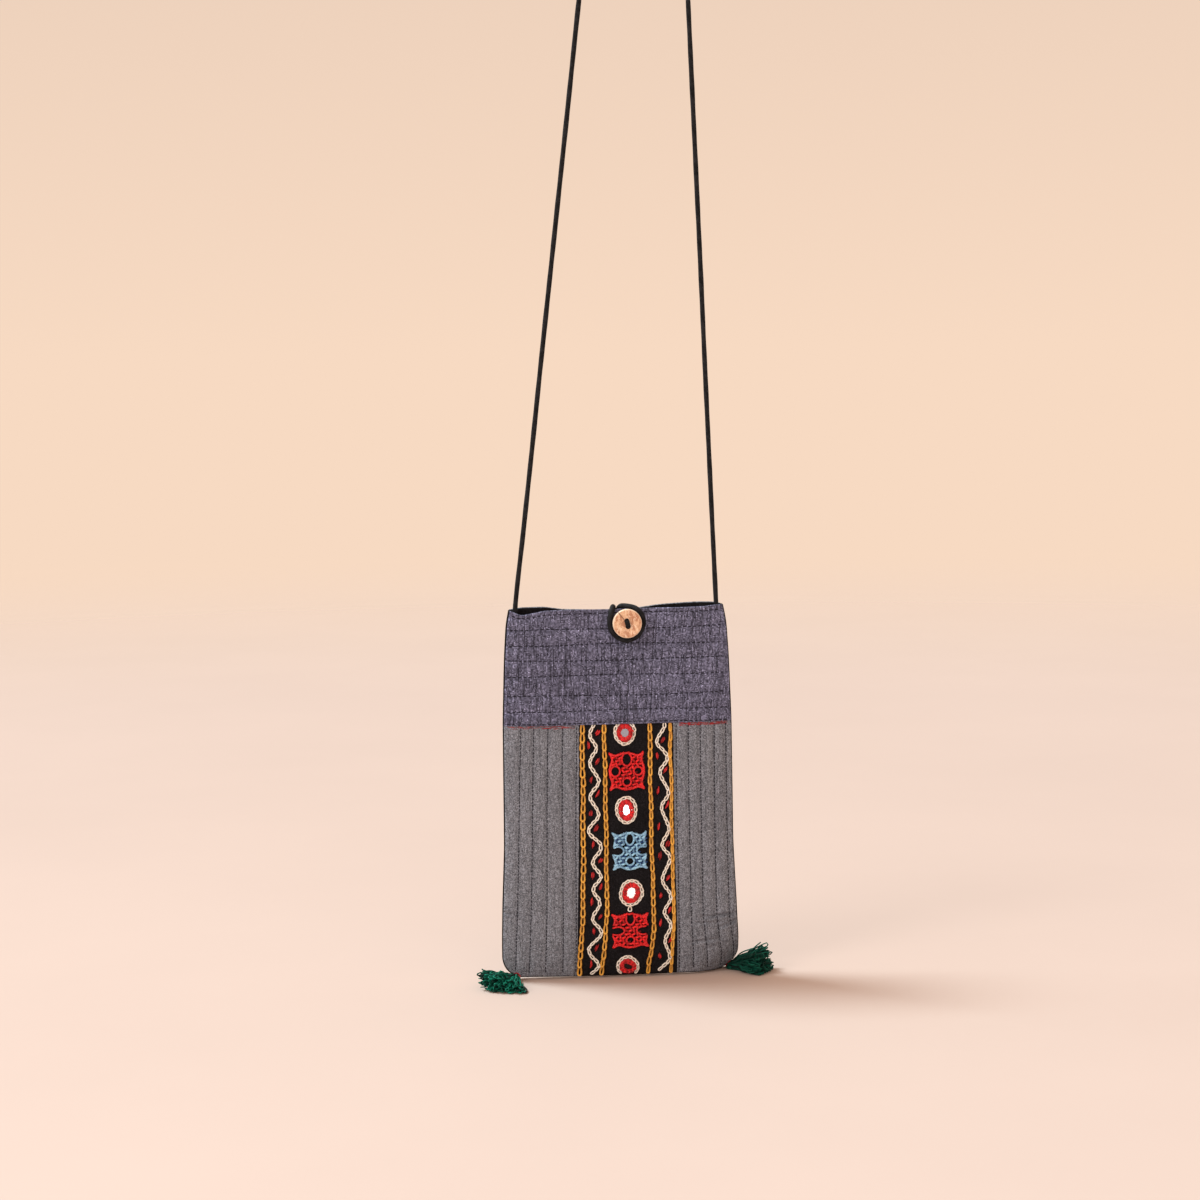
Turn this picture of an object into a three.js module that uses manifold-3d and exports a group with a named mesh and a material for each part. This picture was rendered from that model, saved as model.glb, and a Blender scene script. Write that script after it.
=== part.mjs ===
// Phone sling bag: a flat quilted cloth pouch on a long cord sling. The front is pieced from a yoke,
// two side panels and an embroidered band with small mirrors. A button and loop close the mouth, and
// a bead and a tassel hang at each lower corner.
// Millimetres, +Z up, the front faces -Y. The origin is where the sling hangs on its hook.
import * as THREE from "three";
import { mergeVertices } from "three/addons/utils/BufferGeometryUtils.js";
import Module from "manifold-3d";

const wasm = await Module();
wasm.setup();

// Place of the pouch under the hook
const RIM_DROP = 355;
const POUCH_SHIFT = -14;

// Outline of the pouch
const HEIGHT = 182.5;
const BOTTOM_BOW = 1;
const CORNER_RADIUS = 10;
const WIDTHS = [
  { drop: -4, half: 52.0 },
  { drop: 0, half: 52.4 },
  { drop: 5, half: 54.0 },
  { drop: 24, half: 55.2 },
  { drop: 55, half: 56.4 },
  { drop: 118, half: 56.8 },
  { drop: 148, half: 58.0 },
  { drop: 166, half: 58.5 },
  { drop: 190, half: 58.5 },
];
// Height of the two lips of the mouth, at places across the width from -1 to 1
const RIM = [
  { across: -1, front: 1.3, back: 1.3 },
  { across: -0.9, front: -1.4, back: 1.0 },
  { across: -0.67, front: 0.4, back: 1.0 },
  { across: -0.1, front: 0, back: 0.8 },
  { across: 0.8, front: -0.4, back: 1.3 },
  { across: 1, front: 1.3, back: 1.3 },
];
const RIM_FADE = 12;

// Layers
const CLOTH = 1.5;
const BAND_CLOTH = 1.2;
const LINING = 1;
const GAP = 0.3;
const LAYER_GAP = 0.45;
const EDGE_TAPER = 5;
const EDGE_THIN = 0.7;
const LEAST_CLOTH = 0.7;
const SIDE_WALL = 1.1;
const LINING_PEEK = 0.4;
const LINING_DROP = 0.8;

// Room inside, as half of the space between the two lining walls
const BELLY = 3.6;
const MOUTH_PINCH = 2.5;
const MOUTH_OPEN = 4.2;
const PINCH_WIDE = 0.17;
const MOUTH_DEPTH = 45;
const EDGE_ROOM = 0.2;
const CORD_ROOM = 1.6;
const CORD_ROOM_DROP = 10;
const SIDE_RAMP = 24;
const BOTTOM_RAMP = 34;
const CORNER_CURL = 3;
const CURL_REACH = 30;

// Seams and quilting
const YOKE_DROP = 57;
const QUILT_DIP = 0.45;
const YOKE_ROWS = [0, 2, 9.5, 17.2, 24.9, 32.4, 42.3, 49.8, YOKE_DROP];
// Distance of each upright seam or stitch row from the middle, at the yoke and at the lower edge
const BAND_EDGES = {
  left: { top: -19.4, bottom: -21.9 },
  right: { top: 26.9, bottom: 27.8 },
};
const LEFT_ROWS = [
  { top: -47.9, bottom: -52.7 },
  { top: -41.6, bottom: -45.8 },
  { top: -34.8, bottom: -37.8 },
  { top: -27.8, bottom: -29.3 },
  { top: -20.9, bottom: -22.9 },
];
const RIGHT_ROWS = [
  { top: 28.4, bottom: 28.8 },
  { top: 34.5, bottom: 34.9 },
  { top: 40.5, bottom: 40.9 },
  { top: 47.5, bottom: 47.7 },
  { top: 53.5, bottom: 54.3 },
];
const BACK_ROW_PITCH = 11;
// Creases pressed into the front, with their middle, half length, slope and depth
const CREASES = [
  { across: 53, drop: 158, half: 9, slope: 0.05, deep: 0.6 },
  { across: 50, drop: 169, half: 7, slope: 0.2, deep: 0.45 },
  { across: -50, drop: 151, half: 8, slope: -0.1, deep: 0.3 },
];
const CREASE_WIDE = 2.2;

// Grid of the cloth: places across and down, closer together where it bends
const COLUMNS = 17;
const BAND_COLUMNS = 7;
const FRONT_DROPS = [0, 0.17, 0.36, 0.54, 0.7, 0.77, 0.805, 0.84, 0.885, 0.94, 1];
const BACK_DROPS = [0, 0.05, 0.12, 0.21, 0.31, 0.5, 0.7, 0.84, 0.9, 0.95, 1];
const LINING_DROPS = [0, 0.05, 0.12, 0.21, 0.31, 0.5, 0.7, 0.8, 0.88, 0.94, 1];
// Share of the way between two stitch rows where the cloth is full again
const PUFF_START = 0.3;

// Sides and steps of round pieces
const CORD_SIDES = 8;
const STRING_SIDES = 6;
const BUTTON_SIDES = 32;
const HOLE_SIDES = 12;
const MIRROR_SIDES = 16;
const BEAD_SIDES = 10;
const BEAD_STEPS = 6;
const HEAD_SIDES = 10;
const HEAD_STEPS = 7;
const LOCK_SIDES = 7;
const SLING_STEPS = 72;
const LOOP_STEPS = 36;
const THREAD_STEPS = 16;

// Button, thread and loop
const BUTTON_ACROSS = 4.5;
const BUTTON_DROP = 6.7;
const BUTTON_RADIUS = 7.5;
const BUTTON_THICK = 2.8;
const BUTTON_EDGE = 0.9;
const BUTTON_HOLE_RADIUS = 1.3;
const BUTTON_HOLE_PITCH = 2.9;
const BUTTON_TURN = THREE.MathUtils.degToRad(13);
const THREAD_RADIUS = 0.95;
const THREAD_BEND = 0.3;
const THREAD_FOOT = 0.55;
const LOOP_RADIUS = 8;
const LOOP_CORD_RADIUS = 1.4;
// One side of the loop: distance from its middle, share of the way to the front, and height over the lip
const LOOP_SHOULDER = [
  { out: 1.55, front: 0, up: -5 },
  { out: 1.55, front: 0, up: -1 },
  { out: 2.35, front: 0.15, up: 1.6 },
  { out: 4.55, front: 0.55, up: 2 },
  { out: 6.75, front: 0.96, up: 0.9 },
  { out: 7.75, front: 1, up: -3.9 },
];
const LOOP_TURNS = [0, 30, 60];

// Mirrors on the band
const MIRROR_RADIUS = 3.2;
const MIRROR_THICK = 0.7;
const MIRRORS = [
  { across: 2.9, drop: 61.1 },
  { across: 3.2, drop: 99.7 },
  { across: 5.1, drop: 141.3 },
  { across: 2.7, drop: 178.4 },
];

// Sling
const SLING_RADIUS = 1.15;
const SLING_ROUTE = [
  [-63.9, -363],
  [-63.7, -355],
  [-58.8, -315],
  [-53.9, -275],
  [-49.1, -235],
  [-44.2, -195],
  [-39.3, -155],
  [-34.4, -115],
  [-29.6, -75],
  [-25.9, -45],
  [-23.1, -22],
  [-21.4, -12.9],
  [-16.4, -5.3],
  [-8.9, -0.5],
  [0, 1.15],
  [8.9, -0.5],
  [16.4, -5.3],
  [21.5, -12.9],
  [23.3, -22],
  [24.2, -45],
  [25.3, -75],
  [26.8, -115],
  [28.3, -155],
  [29.8, -195],
  [31.2, -235],
  [32.7, -275],
  [34.2, -315],
  [35.7, -355],
  [35.9, -363],
];

// Tassels and beads
const FLOOR_DROP = HEIGHT + 5.5;
const BEAD_RADIUS = 2.1;
const BEAD_BORE = 0.8;
const STRING_RADIUS = 0.5;
const STRING_DROP = 1.1;
const HEAD_RADIUS = 2.6;
const LOCKS = 12;
// Outline of one lock of thread: share of its length and its radius there
const LOCK_OUTLINE = [
  { along: 0, radius: 0.8 },
  { along: 0.35, radius: 1.5 },
  { along: 0.75, radius: 2.3 },
  { along: 0.95, radius: 1.9 },
];
const LOCK_RADIUS = Math.max(...LOCK_OUTLINE.map((row) => row.radius));
// Where each string leaves the lower seam, and its way to the tassel's head
const CORNERS = {
  left: { across: -51.3, way: [-3.9, -5.2, -2.4] },
  right: { across: 54.2, way: [5, 2.4, -2.6] },
};
// Where the lock tips lie round each head: half width and lift of the fan, and its middle
const FANS = {
  left: { middle: [-3.5, -11.5, 3], wide: [13, -3, 0], tall: [-2, 3, 7] },
  right: { middle: [14, 2, 3], wide: [3, -8, 0], tall: [1, 1, 9] },
};

const { clamp, lerp, smoothstep } = THREE.MathUtils;
const GOLDEN_TURN = Math.PI * (3 - Math.sqrt(5));
const v3 = (x, y, z) => new THREE.Vector3(x, y, z);

// Value of a named column of a table, between the two rows round a place
function read(table, key, place, column) {
  const after = table.findIndex((row) => row[key] >= place);
  if (after <= 0) return table[after === 0 ? 0 : table.length - 1][column];
  const a = table[after - 1];
  const b = table[after];
  return lerp(a[column], b[column], (place - a[key]) / (b[key] - a[key]));
}

const halfWidth = (z) => read(WIDTHS, "drop", -z, "half");
const LOW_HALF = halfWidth(-HEIGHT);
const TOP_HALF = halfWidth(-YOKE_DROP);

// Lower edge of the pouch: nearly straight, with round corners
function bottomAt(across, inset = 0) {
  const reach = LOW_HALF - inset;
  const into = Math.max(0, Math.abs(across) * reach - (reach - CORNER_RADIUS));
  const bow = BOTTOM_BOW * (1 - across * across);
  const lift = CORNER_RADIUS - Math.sqrt(Math.max(0, CORNER_RADIUS ** 2 - into ** 2));
  return -HEIGHT - bow + inset + lift;
}

// Rounded ramp from 0 at an edge to 1 further in
const ramp = (distance, length) => 1 - (1 - clamp(distance / length, 0, 1)) ** 2;

// Half of the space inside the lining
function halfRoom(across, z) {
  const button = BUTTON_ACROSS / TOP_HALF;
  const way = Math.abs(across - button) / (1 - Math.sign(across - button) * button);
  const past = clamp((way - PINCH_WIDE) / (1 - PINCH_WIDE), 0, 1);
  const mouth = lerp(MOUTH_PINCH, MOUTH_OPEN, Math.sin(Math.PI * past) ** 2);
  const middle = lerp(BELLY, mouth, smoothstep(z, -MOUTH_DEPTH, 0));
  const edge = lerp(EDGE_ROOM, CORD_ROOM, clamp((z + YOKE_DROP) / (YOKE_DROP - CORD_ROOM_DROP), 0, 1));
  const side = ramp((1 - Math.abs(across)) * halfWidth(z), SIDE_RAMP);
  const bottom = ramp(z - bottomAt(across), BOTTOM_RAMP);
  return edge + (middle - edge) * side * bottom;
}

// Share of a layer's thickness that is left near the seam round the pouch
function taper(across, z) {
  const side = (1 - Math.abs(across)) * halfWidth(z);
  const near = Math.min(side, z - bottomAt(across));
  return lerp(EDGE_THIN, 1, clamp(near / EDGE_TAPER, 0, 1));
}

// The lower right corner turns back
function lean(across, z) {
  const from = Math.hypot(LOW_HALF * (1 - across), HEIGHT + z);
  return CORNER_CURL * (1 - smoothstep(from, 0, CURL_REACH));
}

// Depth of a crease at a place on the front
function creased(x, z) {
  let deep = 0;
  for (const c of CREASES) {
    const along = (x - c.across) / c.half;
    const off = (-z - c.drop + c.slope * (x - c.across)) / CREASE_WIDE;
    deep += c.deep * Math.exp(-(along ** 2) - off ** 2);
  }
  return deep;
}

const clothDepth = (across, z) => halfRoom(across, z) + LINING * taper(across, z) + LAYER_GAP;

// A point of the pouch at a depth on its front (side -1) or back (side 1)
function pouchPoint(across, z, side, depth) {
  return v3(across * halfWidth(z), side * depth + lean(across, z), z);
}

// A closed geometry from points and triangles, with its faces turned outwards
function closedGeometry(points, triangles) {
  let volume = 0;
  for (const [a, b, c] of triangles) {
    volume += points[a].dot(v3(0, 0, 0).crossVectors(points[b], points[c]));
  }
  const index = triangles.map(([a, b, c]) => (volume < 0 ? [a, c, b] : [a, b, c]));
  return new THREE.BufferGeometry().setFromPoints(points).setIndex(index.flat());
}

const quad = (a, b, c, d) => [[a, b, c], [a, c, d]];

// A closed piece of cloth over a grid: point(i, j, 0) is its inner face and point(i, j, 1) its outer
function slab(columns, rows, point) {
  const points = [];
  const triangles = [];
  for (const face of [0, 1]) {
    for (let j = 0; j < rows; j++) {
      for (let i = 0; i < columns; i++) points.push(point(i, j, face));
    }
  }
  const at = (i, j, face) => (face * rows + j) * columns + i;
  for (let j = 0; j + 1 < rows; j++) {
    for (let i = 0; i + 1 < columns; i++) {
      triangles.push(...quad(at(i, j, 1), at(i + 1, j, 1), at(i + 1, j + 1, 1), at(i, j + 1, 1)));
      triangles.push(...quad(at(i, j, 0), at(i, j + 1, 0), at(i + 1, j + 1, 0), at(i + 1, j, 0)));
    }
    const last = columns - 1;
    triangles.push(...quad(at(0, j, 0), at(0, j, 1), at(0, j + 1, 1), at(0, j + 1, 0)));
    triangles.push(...quad(at(last, j, 1), at(last, j, 0), at(last, j + 1, 0), at(last, j + 1, 1)));
  }
  for (let i = 0; i + 1 < columns; i++) {
    const low = rows - 1;
    triangles.push(...quad(at(i, 0, 0), at(i + 1, 0, 0), at(i + 1, 0, 1), at(i, 0, 1)));
    triangles.push(...quad(at(i, low, 1), at(i + 1, low, 1), at(i + 1, low, 0), at(i, low, 0)));
  }
  return closedGeometry(points, triangles);
}

// Places across the width, closer together towards the side seams
function acrossAt(i) {
  const s = (2 * i) / (COLUMNS - 1) - 1;
  return s * (1.5 - 0.5 * s * s);
}

// Stitch rows with two full places between each pair, for a grid that dips at every row
function quilted(rows, mix) {
  const places = [];
  rows.forEach((row, i) => {
    places.push({ at: row, dip: 1 });
    if (i + 1 < rows.length) {
      places.push({ at: mix(row, rows[i + 1], PUFF_START), dip: 0 });
      places.push({ at: mix(row, rows[i + 1], 1 - PUFF_START), dip: 0 });
    }
  });
  return places;
}

// Yoke: level rows of quilting under the front lip of the mouth
function frontYoke() {
  const rows = quilted(YOKE_ROWS, lerp);
  return slab(COLUMNS, rows.length, (i, j, face) => {
    const across = acrossAt(i);
    const { at, dip } = rows[j];
    const lift = read(RIM, "across", across, "front") * Math.max(0, 1 - at / RIM_FADE);
    const z = Math.max(lift - at, -YOKE_DROP + GAP / 2);
    const thick = Math.max(CLOTH * taper(across, z) - QUILT_DIP * dip, LEAST_CLOTH);
    return pouchPoint(across, z, -1, clothDepth(across, z) + face * thick);
  });
}

const mixPair = (a, b, t) => ({ top: lerp(a.top, b.top, t), bottom: lerp(a.bottom, b.bottom, t) });

// Lower front piece between two upright edges, with its stitch rows
function lowerPiece(places, cloth) {
  const top = -YOKE_DROP - GAP / 2;
  return slab(places.length, FRONT_DROPS.length, (i, j, face) => {
    const { at, dip } = places[i];
    const low = bottomAt(at.bottom / LOW_HALF);
    const z = lerp(top, low, FRONT_DROPS[j]);
    const across = lerp(at.top / TOP_HALF, at.bottom / LOW_HALF, FRONT_DROPS[j]);
    const dent = QUILT_DIP * dip + creased(across * halfWidth(z), z);
    const thick = Math.max(cloth * taper(across, z) - dent, LEAST_CLOTH);
    return pouchPoint(across, z, -1, clothDepth(across, z) + face * thick);
  });
}

const shifted = (edge, by) => ({ top: edge.top + by, bottom: edge.bottom + by });

function frontPanelLeft() {
  const seam = { top: -TOP_HALF, bottom: -LOW_HALF };
  const fold = shifted(BAND_EDGES.left, -GAP / 2);
  return lowerPiece(quilted([seam, ...LEFT_ROWS, fold], mixPair), CLOTH);
}

function frontPanelRight() {
  const seam = { top: TOP_HALF, bottom: LOW_HALF };
  const fold = shifted(BAND_EDGES.right, GAP / 2);
  return lowerPiece(quilted([fold, ...RIGHT_ROWS, seam], mixPair), CLOTH);
}

function embroideredBand() {
  const left = shifted(BAND_EDGES.left, GAP / 2);
  const right = shifted(BAND_EDGES.right, -GAP / 2);
  const places = [];
  for (let i = 0; i < BAND_COLUMNS; i++) {
    places.push({ at: mixPair(left, right, i / (BAND_COLUMNS - 1)), dip: 0 });
  }
  return lowerPiece(places, BAND_CLOTH);
}

// Back: one piece of cloth with upright quilting
function backPanel() {
  const half = Math.floor(TOP_HALF / BACK_ROW_PITCH);
  const stitched = [-1];
  for (let k = -half; k <= half; k++) stitched.push((k * BACK_ROW_PITCH) / TOP_HALF);
  stitched.push(1);
  const places = quilted(stitched, lerp);
  return slab(places.length, BACK_DROPS.length, (i, j, face) => {
    const { at, dip } = places[i];
    const z = lerp(read(RIM, "across", at, "back"), bottomAt(at), BACK_DROPS[j]);
    const thick = Math.max(CLOTH * taper(at, z) - QUILT_DIP * dip, LEAST_CLOTH);
    return pouchPoint(at, z, 1, clothDepth(at, z) + face * thick);
  });
}

// Lining: an open pouch inside the cloth, whose seam shows as a thin edge all round
function lining() {
  const points = [];
  const triangles = [];
  const ring = 2 * COLUMNS;
  for (const outer of [1, 0]) {
    const inset = outer ? -LINING_PEEK : SIDE_WALL;
    for (const drop of LINING_DROPS) {
      for (let k = 0; k < ring; k++) {
        const front = k < COLUMNS;
        const across = acrossAt(front ? k : ring - 1 - k);
        const lip = read(RIM, "across", across, front ? "front" : "back") - LINING_DROP;
        const z = lerp(lip, bottomAt(across, inset), drop);
        const depth = halfRoom(across, z) + outer * LINING * taper(across, z);
        const point = pouchPoint(across, z, front ? -1 : 1, depth);
        point.x *= 1 - inset / halfWidth(z);
        points.push(point);
      }
    }
  }
  const at = (outer, j, k) => ((1 - outer) * LINING_DROPS.length + j) * ring + ((k + ring) % ring);
  const low = LINING_DROPS.length - 1;
  for (let k = 0; k < ring; k++) {
    for (let j = 0; j < low; j++) {
      triangles.push(...quad(at(1, j, k), at(1, j + 1, k), at(1, j + 1, k + 1), at(1, j, k + 1)));
      triangles.push(...quad(at(0, j, k), at(0, j, k + 1), at(0, j + 1, k + 1), at(0, j + 1, k)));
    }
    triangles.push(...quad(at(1, 0, k), at(1, 0, k + 1), at(0, 0, k + 1), at(0, 0, k)));
  }
  for (let k = 0; k + 1 < COLUMNS; k++) {
    const far = ring - 1 - k;
    triangles.push(...quad(at(1, low, k), at(1, low, far), at(1, low, far - 1), at(1, low, k + 1)));
    triangles.push(...quad(at(0, low, k), at(0, low, k + 1), at(0, low, far - 1), at(0, low, far)));
  }
  return closedGeometry(points, triangles);
}

// A round section for a cord or thread
function section(radius, sides) {
  const shape = new THREE.Shape();
  for (let k = 0; k < sides; k++) {
    const turn = (2 * Math.PI * k) / sides;
    const x = radius * Math.cos(turn);
    const y = radius * Math.sin(turn);
    if (k === 0) shape.moveTo(x, y);
    else shape.lineTo(x, y);
  }
  shape.closePath();
  return shape;
}

function tube(curve, radius, sides, steps) {
  return new THREE.ExtrudeGeometry(section(radius, sides), { steps, extrudePath: curve });
}

function slingCord() {
  const route = SLING_ROUTE.map(([x, z]) => v3(x, 0, z));
  const curve = new THREE.CatmullRomCurve3(route, false, "centripetal");
  return tube(curve, SLING_RADIUS, CORD_SIDES, SLING_STEPS);
}

// Joining and cutting of closed geometries
function solidOf(geometry) {
  const bare = geometry.clone();
  bare.deleteAttribute("normal");
  bare.deleteAttribute("uv");
  const merged = mergeVertices(bare, 1e-3);
  return new wasm.Manifold(
    new wasm.Mesh({
      numProp: 3,
      vertProperties: merged.attributes.position.array,
      triVerts: new Uint32Array(merged.index.array),
    }),
  );
}

function geometryOf(solid) {
  const { vertProperties, triVerts } = solid.getMesh();
  return new THREE.BufferGeometry()
    .setAttribute("position", new THREE.BufferAttribute(vertProperties, 3))
    .setIndex(new THREE.BufferAttribute(triVerts, 1));
}

// Outer face of the yoke under the button, and the button's own faces in front of it
const BUTTON_Z = -BUTTON_DROP;
const YOKE_FACE = -(clothDepth(BUTTON_ACROSS / TOP_HALF, BUTTON_Z) + CLOTH);
const BUTTON_BACK = YOKE_FACE - 2 * GAP - 2 * LOOP_CORD_RADIUS;
const BUTTON_FRONT = BUTTON_BACK - BUTTON_THICK;

// Button: a round disc with soft edges and two holes, its axis along Y
function button() {
  const profile = [
    new THREE.Vector2(0, -BUTTON_THICK),
    new THREE.Vector2(BUTTON_RADIUS - 2 * BUTTON_EDGE, -BUTTON_THICK),
    new THREE.Vector2(BUTTON_RADIUS - BUTTON_EDGE / 3, -BUTTON_THICK + BUTTON_EDGE / 2),
    new THREE.Vector2(BUTTON_RADIUS, -BUTTON_THICK / 2),
    new THREE.Vector2(BUTTON_RADIUS - BUTTON_EDGE / 3, -BUTTON_EDGE / 2),
    new THREE.Vector2(BUTTON_RADIUS - BUTTON_EDGE, 0),
    new THREE.Vector2(0, 0),
  ];
  let disc = solidOf(new THREE.LatheGeometry(profile, BUTTON_SIDES));
  const through = 3 * BUTTON_THICK;
  for (const up of [-1, 1]) {
    const hole = new THREE.CylinderGeometry(BUTTON_HOLE_RADIUS, BUTTON_HOLE_RADIUS, through, HOLE_SIDES);
    hole.translate(0, 0, (up * BUTTON_HOLE_PITCH) / 2);
    disc = disc.subtract(solidOf(hole));
  }
  return geometryOf(disc);
}

// Thread: up from the yoke through one hole, over the button and down through the other
function buttonThread() {
  const foot = YOKE_FACE - GAP - THREAD_RADIUS - BUTTON_BACK;
  const over = -BUTTON_THICK - GAP - THREAD_RADIUS;
  const hole = BUTTON_HOLE_PITCH / 2;
  const lower = [
    v3(0, foot, -hole * THREAD_FOOT),
    v3(0, foot / 2, -hole),
    v3(0, -BUTTON_THICK / 2, -hole),
    v3(0, over + THREAD_BEND, -hole),
  ];
  const upper = lower.map((p) => v3(p.x, p.y, -p.z)).reverse();
  const curve = new THREE.CatmullRomCurve3([...lower, v3(0, over, 0), ...upper]);
  return tube(curve, THREAD_RADIUS, CORD_SIDES, THREAD_STEPS);
}

// Loop: from inside the back of the mouth, over the front lip and once round under the button's edge
function buttonLoop() {
  const behind = MOUTH_PINCH - GAP - LOOP_CORD_RADIUS;
  const inFront = YOKE_FACE - GAP - LOOP_CORD_RADIUS;
  const half = LOOP_SHOULDER.map((row) => v3(row.out, lerp(behind, inFront, row.front), row.up));
  for (const turn of LOOP_TURNS) {
    const angle = THREE.MathUtils.degToRad(turn);
    half.push(v3(LOOP_RADIUS * Math.cos(angle), inFront, BUTTON_Z - LOOP_RADIUS * Math.sin(angle)));
  }
  const left = half.map((p) => v3(BUTTON_ACROSS - p.x, p.y, p.z));
  const right = half.map((p) => v3(BUTTON_ACROSS + p.x, p.y, p.z)).reverse();
  const bottom = v3(BUTTON_ACROSS, inFront, BUTTON_Z - LOOP_RADIUS);
  const curve = new THREE.CatmullRomCurve3([...left, bottom, ...right], false, "centripetal");
  return tube(curve, LOOP_CORD_RADIUS, CORD_SIDES, LOOP_STEPS);
}

// A mirror lies flat on the band
function mirror({ across, drop }) {
  const disc = new THREE.CylinderGeometry(MIRROR_RADIUS, MIRROR_RADIUS, MIRROR_THICK, MIRROR_SIDES);
  const face = (up) => {
    const z = -drop + up;
    const share = across / halfWidth(z);
    return pouchPoint(share, z, -1, clothDepth(share, z) + BAND_CLOTH);
  };
  const slope = v3(0, 0, 0).subVectors(face(MIRROR_RADIUS), face(-MIRROR_RADIUS));
  const tilt = Math.atan2(slope.y, slope.z);
  const middle = face(MIRROR_RADIUS).add(face(-MIRROR_RADIUS)).multiplyScalar(0.5);
  const stand = Math.max(middle.y - face(0).y, 0) + GAP + MIRROR_THICK / 2;
  disc.rotateX(-tilt);
  disc.translate(middle.x, middle.y - stand * Math.cos(tilt), middle.z + stand * Math.sin(tilt));
  return disc;
}

// Start of a tassel's string, just under the seam
function cornerPoint({ across }) {
  const share = across / LOW_HALF;
  const seam = bottomAt(share);
  return v3(across, lean(share, seam), seam - STRING_DROP);
}

// A bead drilled for the tassel's string, which leaves the corner towards the tassel's head
function cornerBead(corner) {
  const profile = [];
  const open = Math.asin(BEAD_BORE / BEAD_RADIUS);
  for (let k = 0; k <= BEAD_STEPS; k++) {
    const turn = lerp(open, Math.PI - open, k / BEAD_STEPS);
    profile.push(new THREE.Vector2(BEAD_RADIUS * Math.sin(turn), -BEAD_RADIUS * Math.cos(turn)));
  }
  profile.push(profile[0].clone());
  const bead = new THREE.LatheGeometry(profile, BEAD_SIDES);
  const way = v3(...corner.way).normalize();
  bead.applyQuaternion(new THREE.Quaternion().setFromUnitVectors(v3(0, 1, 0), way));
  const stand = way.multiplyScalar(BEAD_RADIUS + GAP);
  return bead.translate(...cornerPoint(corner).add(stand).toArray());
}

// A lock of thread from a tassel's head to its tip
function lock(head, tip) {
  const way = tip.clone().sub(head);
  const profile = LOCK_OUTLINE.map((row) => new THREE.Vector2(row.radius, row.along * way.length()));
  profile.unshift(new THREE.Vector2(0, 0));
  profile.push(new THREE.Vector2(0, way.length()));
  const strands = new THREE.LatheGeometry(profile, LOCK_SIDES);
  strands.applyQuaternion(new THREE.Quaternion().setFromUnitVectors(v3(0, 1, 0), way.normalize()));
  return strands.translate(...head.toArray());
}

// Tassel: locks of thread that fan out from a wound head, which hangs on a string through the bead
function tassel(corner, fan) {
  const start = cornerPoint(corner);
  const way = v3(...corner.way).normalize();
  const head = start.clone().addScaledVector(way, 2 * BEAD_RADIUS + 2 * GAP + HEAD_RADIUS);
  const string = new THREE.LineCurve3(start, head);
  const floor = -FLOOR_DROP + LOCK_RADIUS;
  const ball = new THREE.SphereGeometry(HEAD_RADIUS, HEAD_SIDES, HEAD_STEPS);
  let body = solidOf(ball.translate(...head.toArray()));
  body = body.add(solidOf(tube(string, STRING_RADIUS, STRING_SIDES, 1)));
  for (let k = 0; k < LOCKS; k++) {
    const turn = k * GOLDEN_TURN;
    const reach = Math.sqrt(k / (LOCKS - 1));
    const tip = head.clone().add(v3(...fan.middle));
    tip.addScaledVector(v3(...fan.wide), reach * Math.cos(turn));
    tip.addScaledVector(v3(...fan.tall), reach * Math.sin(turn));
    tip.z = Math.max(tip.z, floor);
    body = body.add(solidOf(lock(head, tip)));
  }
  return geometryOf(body);
}

// Materials
const cloth = (color, roughness = 0.9) => new THREE.MeshStandardMaterial({ color, roughness });
const MATERIALS = {
  yoke: cloth(0x5a5a6e),
  grey: cloth(0x66696c, 0.7),
  black: cloth(0x17161a),
  cord: cloth(0x151517, 0.8),
  shell: new THREE.MeshStandardMaterial({ color: 0xb98a5c, roughness: 0.55 }),
  green: cloth(0x0d5a41, 0.85),
  bead: new THREE.MeshStandardMaterial({ color: 0xa3182a, roughness: 0.35 }),
  glass: new THREE.MeshStandardMaterial({ color: 0xe6e8ea, roughness: 0.08, metalness: 1 }),
};

function named(name, geometry, material) {
  const mesh = new THREE.Mesh(geometry, material.clone());
  mesh.name = name;
  return mesh;
}

// Assembly
const bag = new THREE.Group();
const pouch = new THREE.Group();
pouch.position.set(POUCH_SHIFT, 0, -RIM_DROP);
bag.add(pouch);
bag.add(named("sling_cord", slingCord(), MATERIALS.cord));

pouch.add(named("front_yoke", frontYoke(), MATERIALS.yoke));
pouch.add(named("front_panel_left", frontPanelLeft(), MATERIALS.grey));
pouch.add(named("front_panel_right", frontPanelRight(), MATERIALS.grey));
pouch.add(named("embroidered_band", embroideredBand(), MATERIALS.black));
pouch.add(named("back_panel", backPanel(), MATERIALS.grey));
pouch.add(named("lining", lining(), MATERIALS.black));
pouch.add(named("button_loop", buttonLoop(), MATERIALS.cord));

const fastener = new THREE.Group();
fastener.position.set(BUTTON_ACROSS, BUTTON_BACK, BUTTON_Z);
fastener.rotation.y = -BUTTON_TURN;
fastener.add(named("button", button(), MATERIALS.shell));
fastener.add(named("button_thread", buttonThread(), MATERIALS.cord));
pouch.add(fastener);

MIRRORS.forEach((place, k) => {
  pouch.add(named(`mirror_${k + 1}`, mirror(place), MATERIALS.glass));
});
for (const side of ["left", "right"]) {
  pouch.add(named(`corner_bead_${side}`, cornerBead(CORNERS[side]), MATERIALS.bead));
  pouch.add(named(`tassel_${side}`, tassel(CORNERS[side], FANS[side]), MATERIALS.green));
}

export default bag;
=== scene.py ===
"""Looks of a phone sling bag: quilted cloth, stitching, embroidery with mirrors, cord, button and tassels.

Shapes are worked out in millimetres in the pouch's own frame, whose origin is the middle of the mouth,
with X to the right, Y to the back and Z up, and are moved to the model's frame, in metres, when made.
"""

import math

import bpy
import numpy as np
from mathutils import Matrix, Vector


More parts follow.
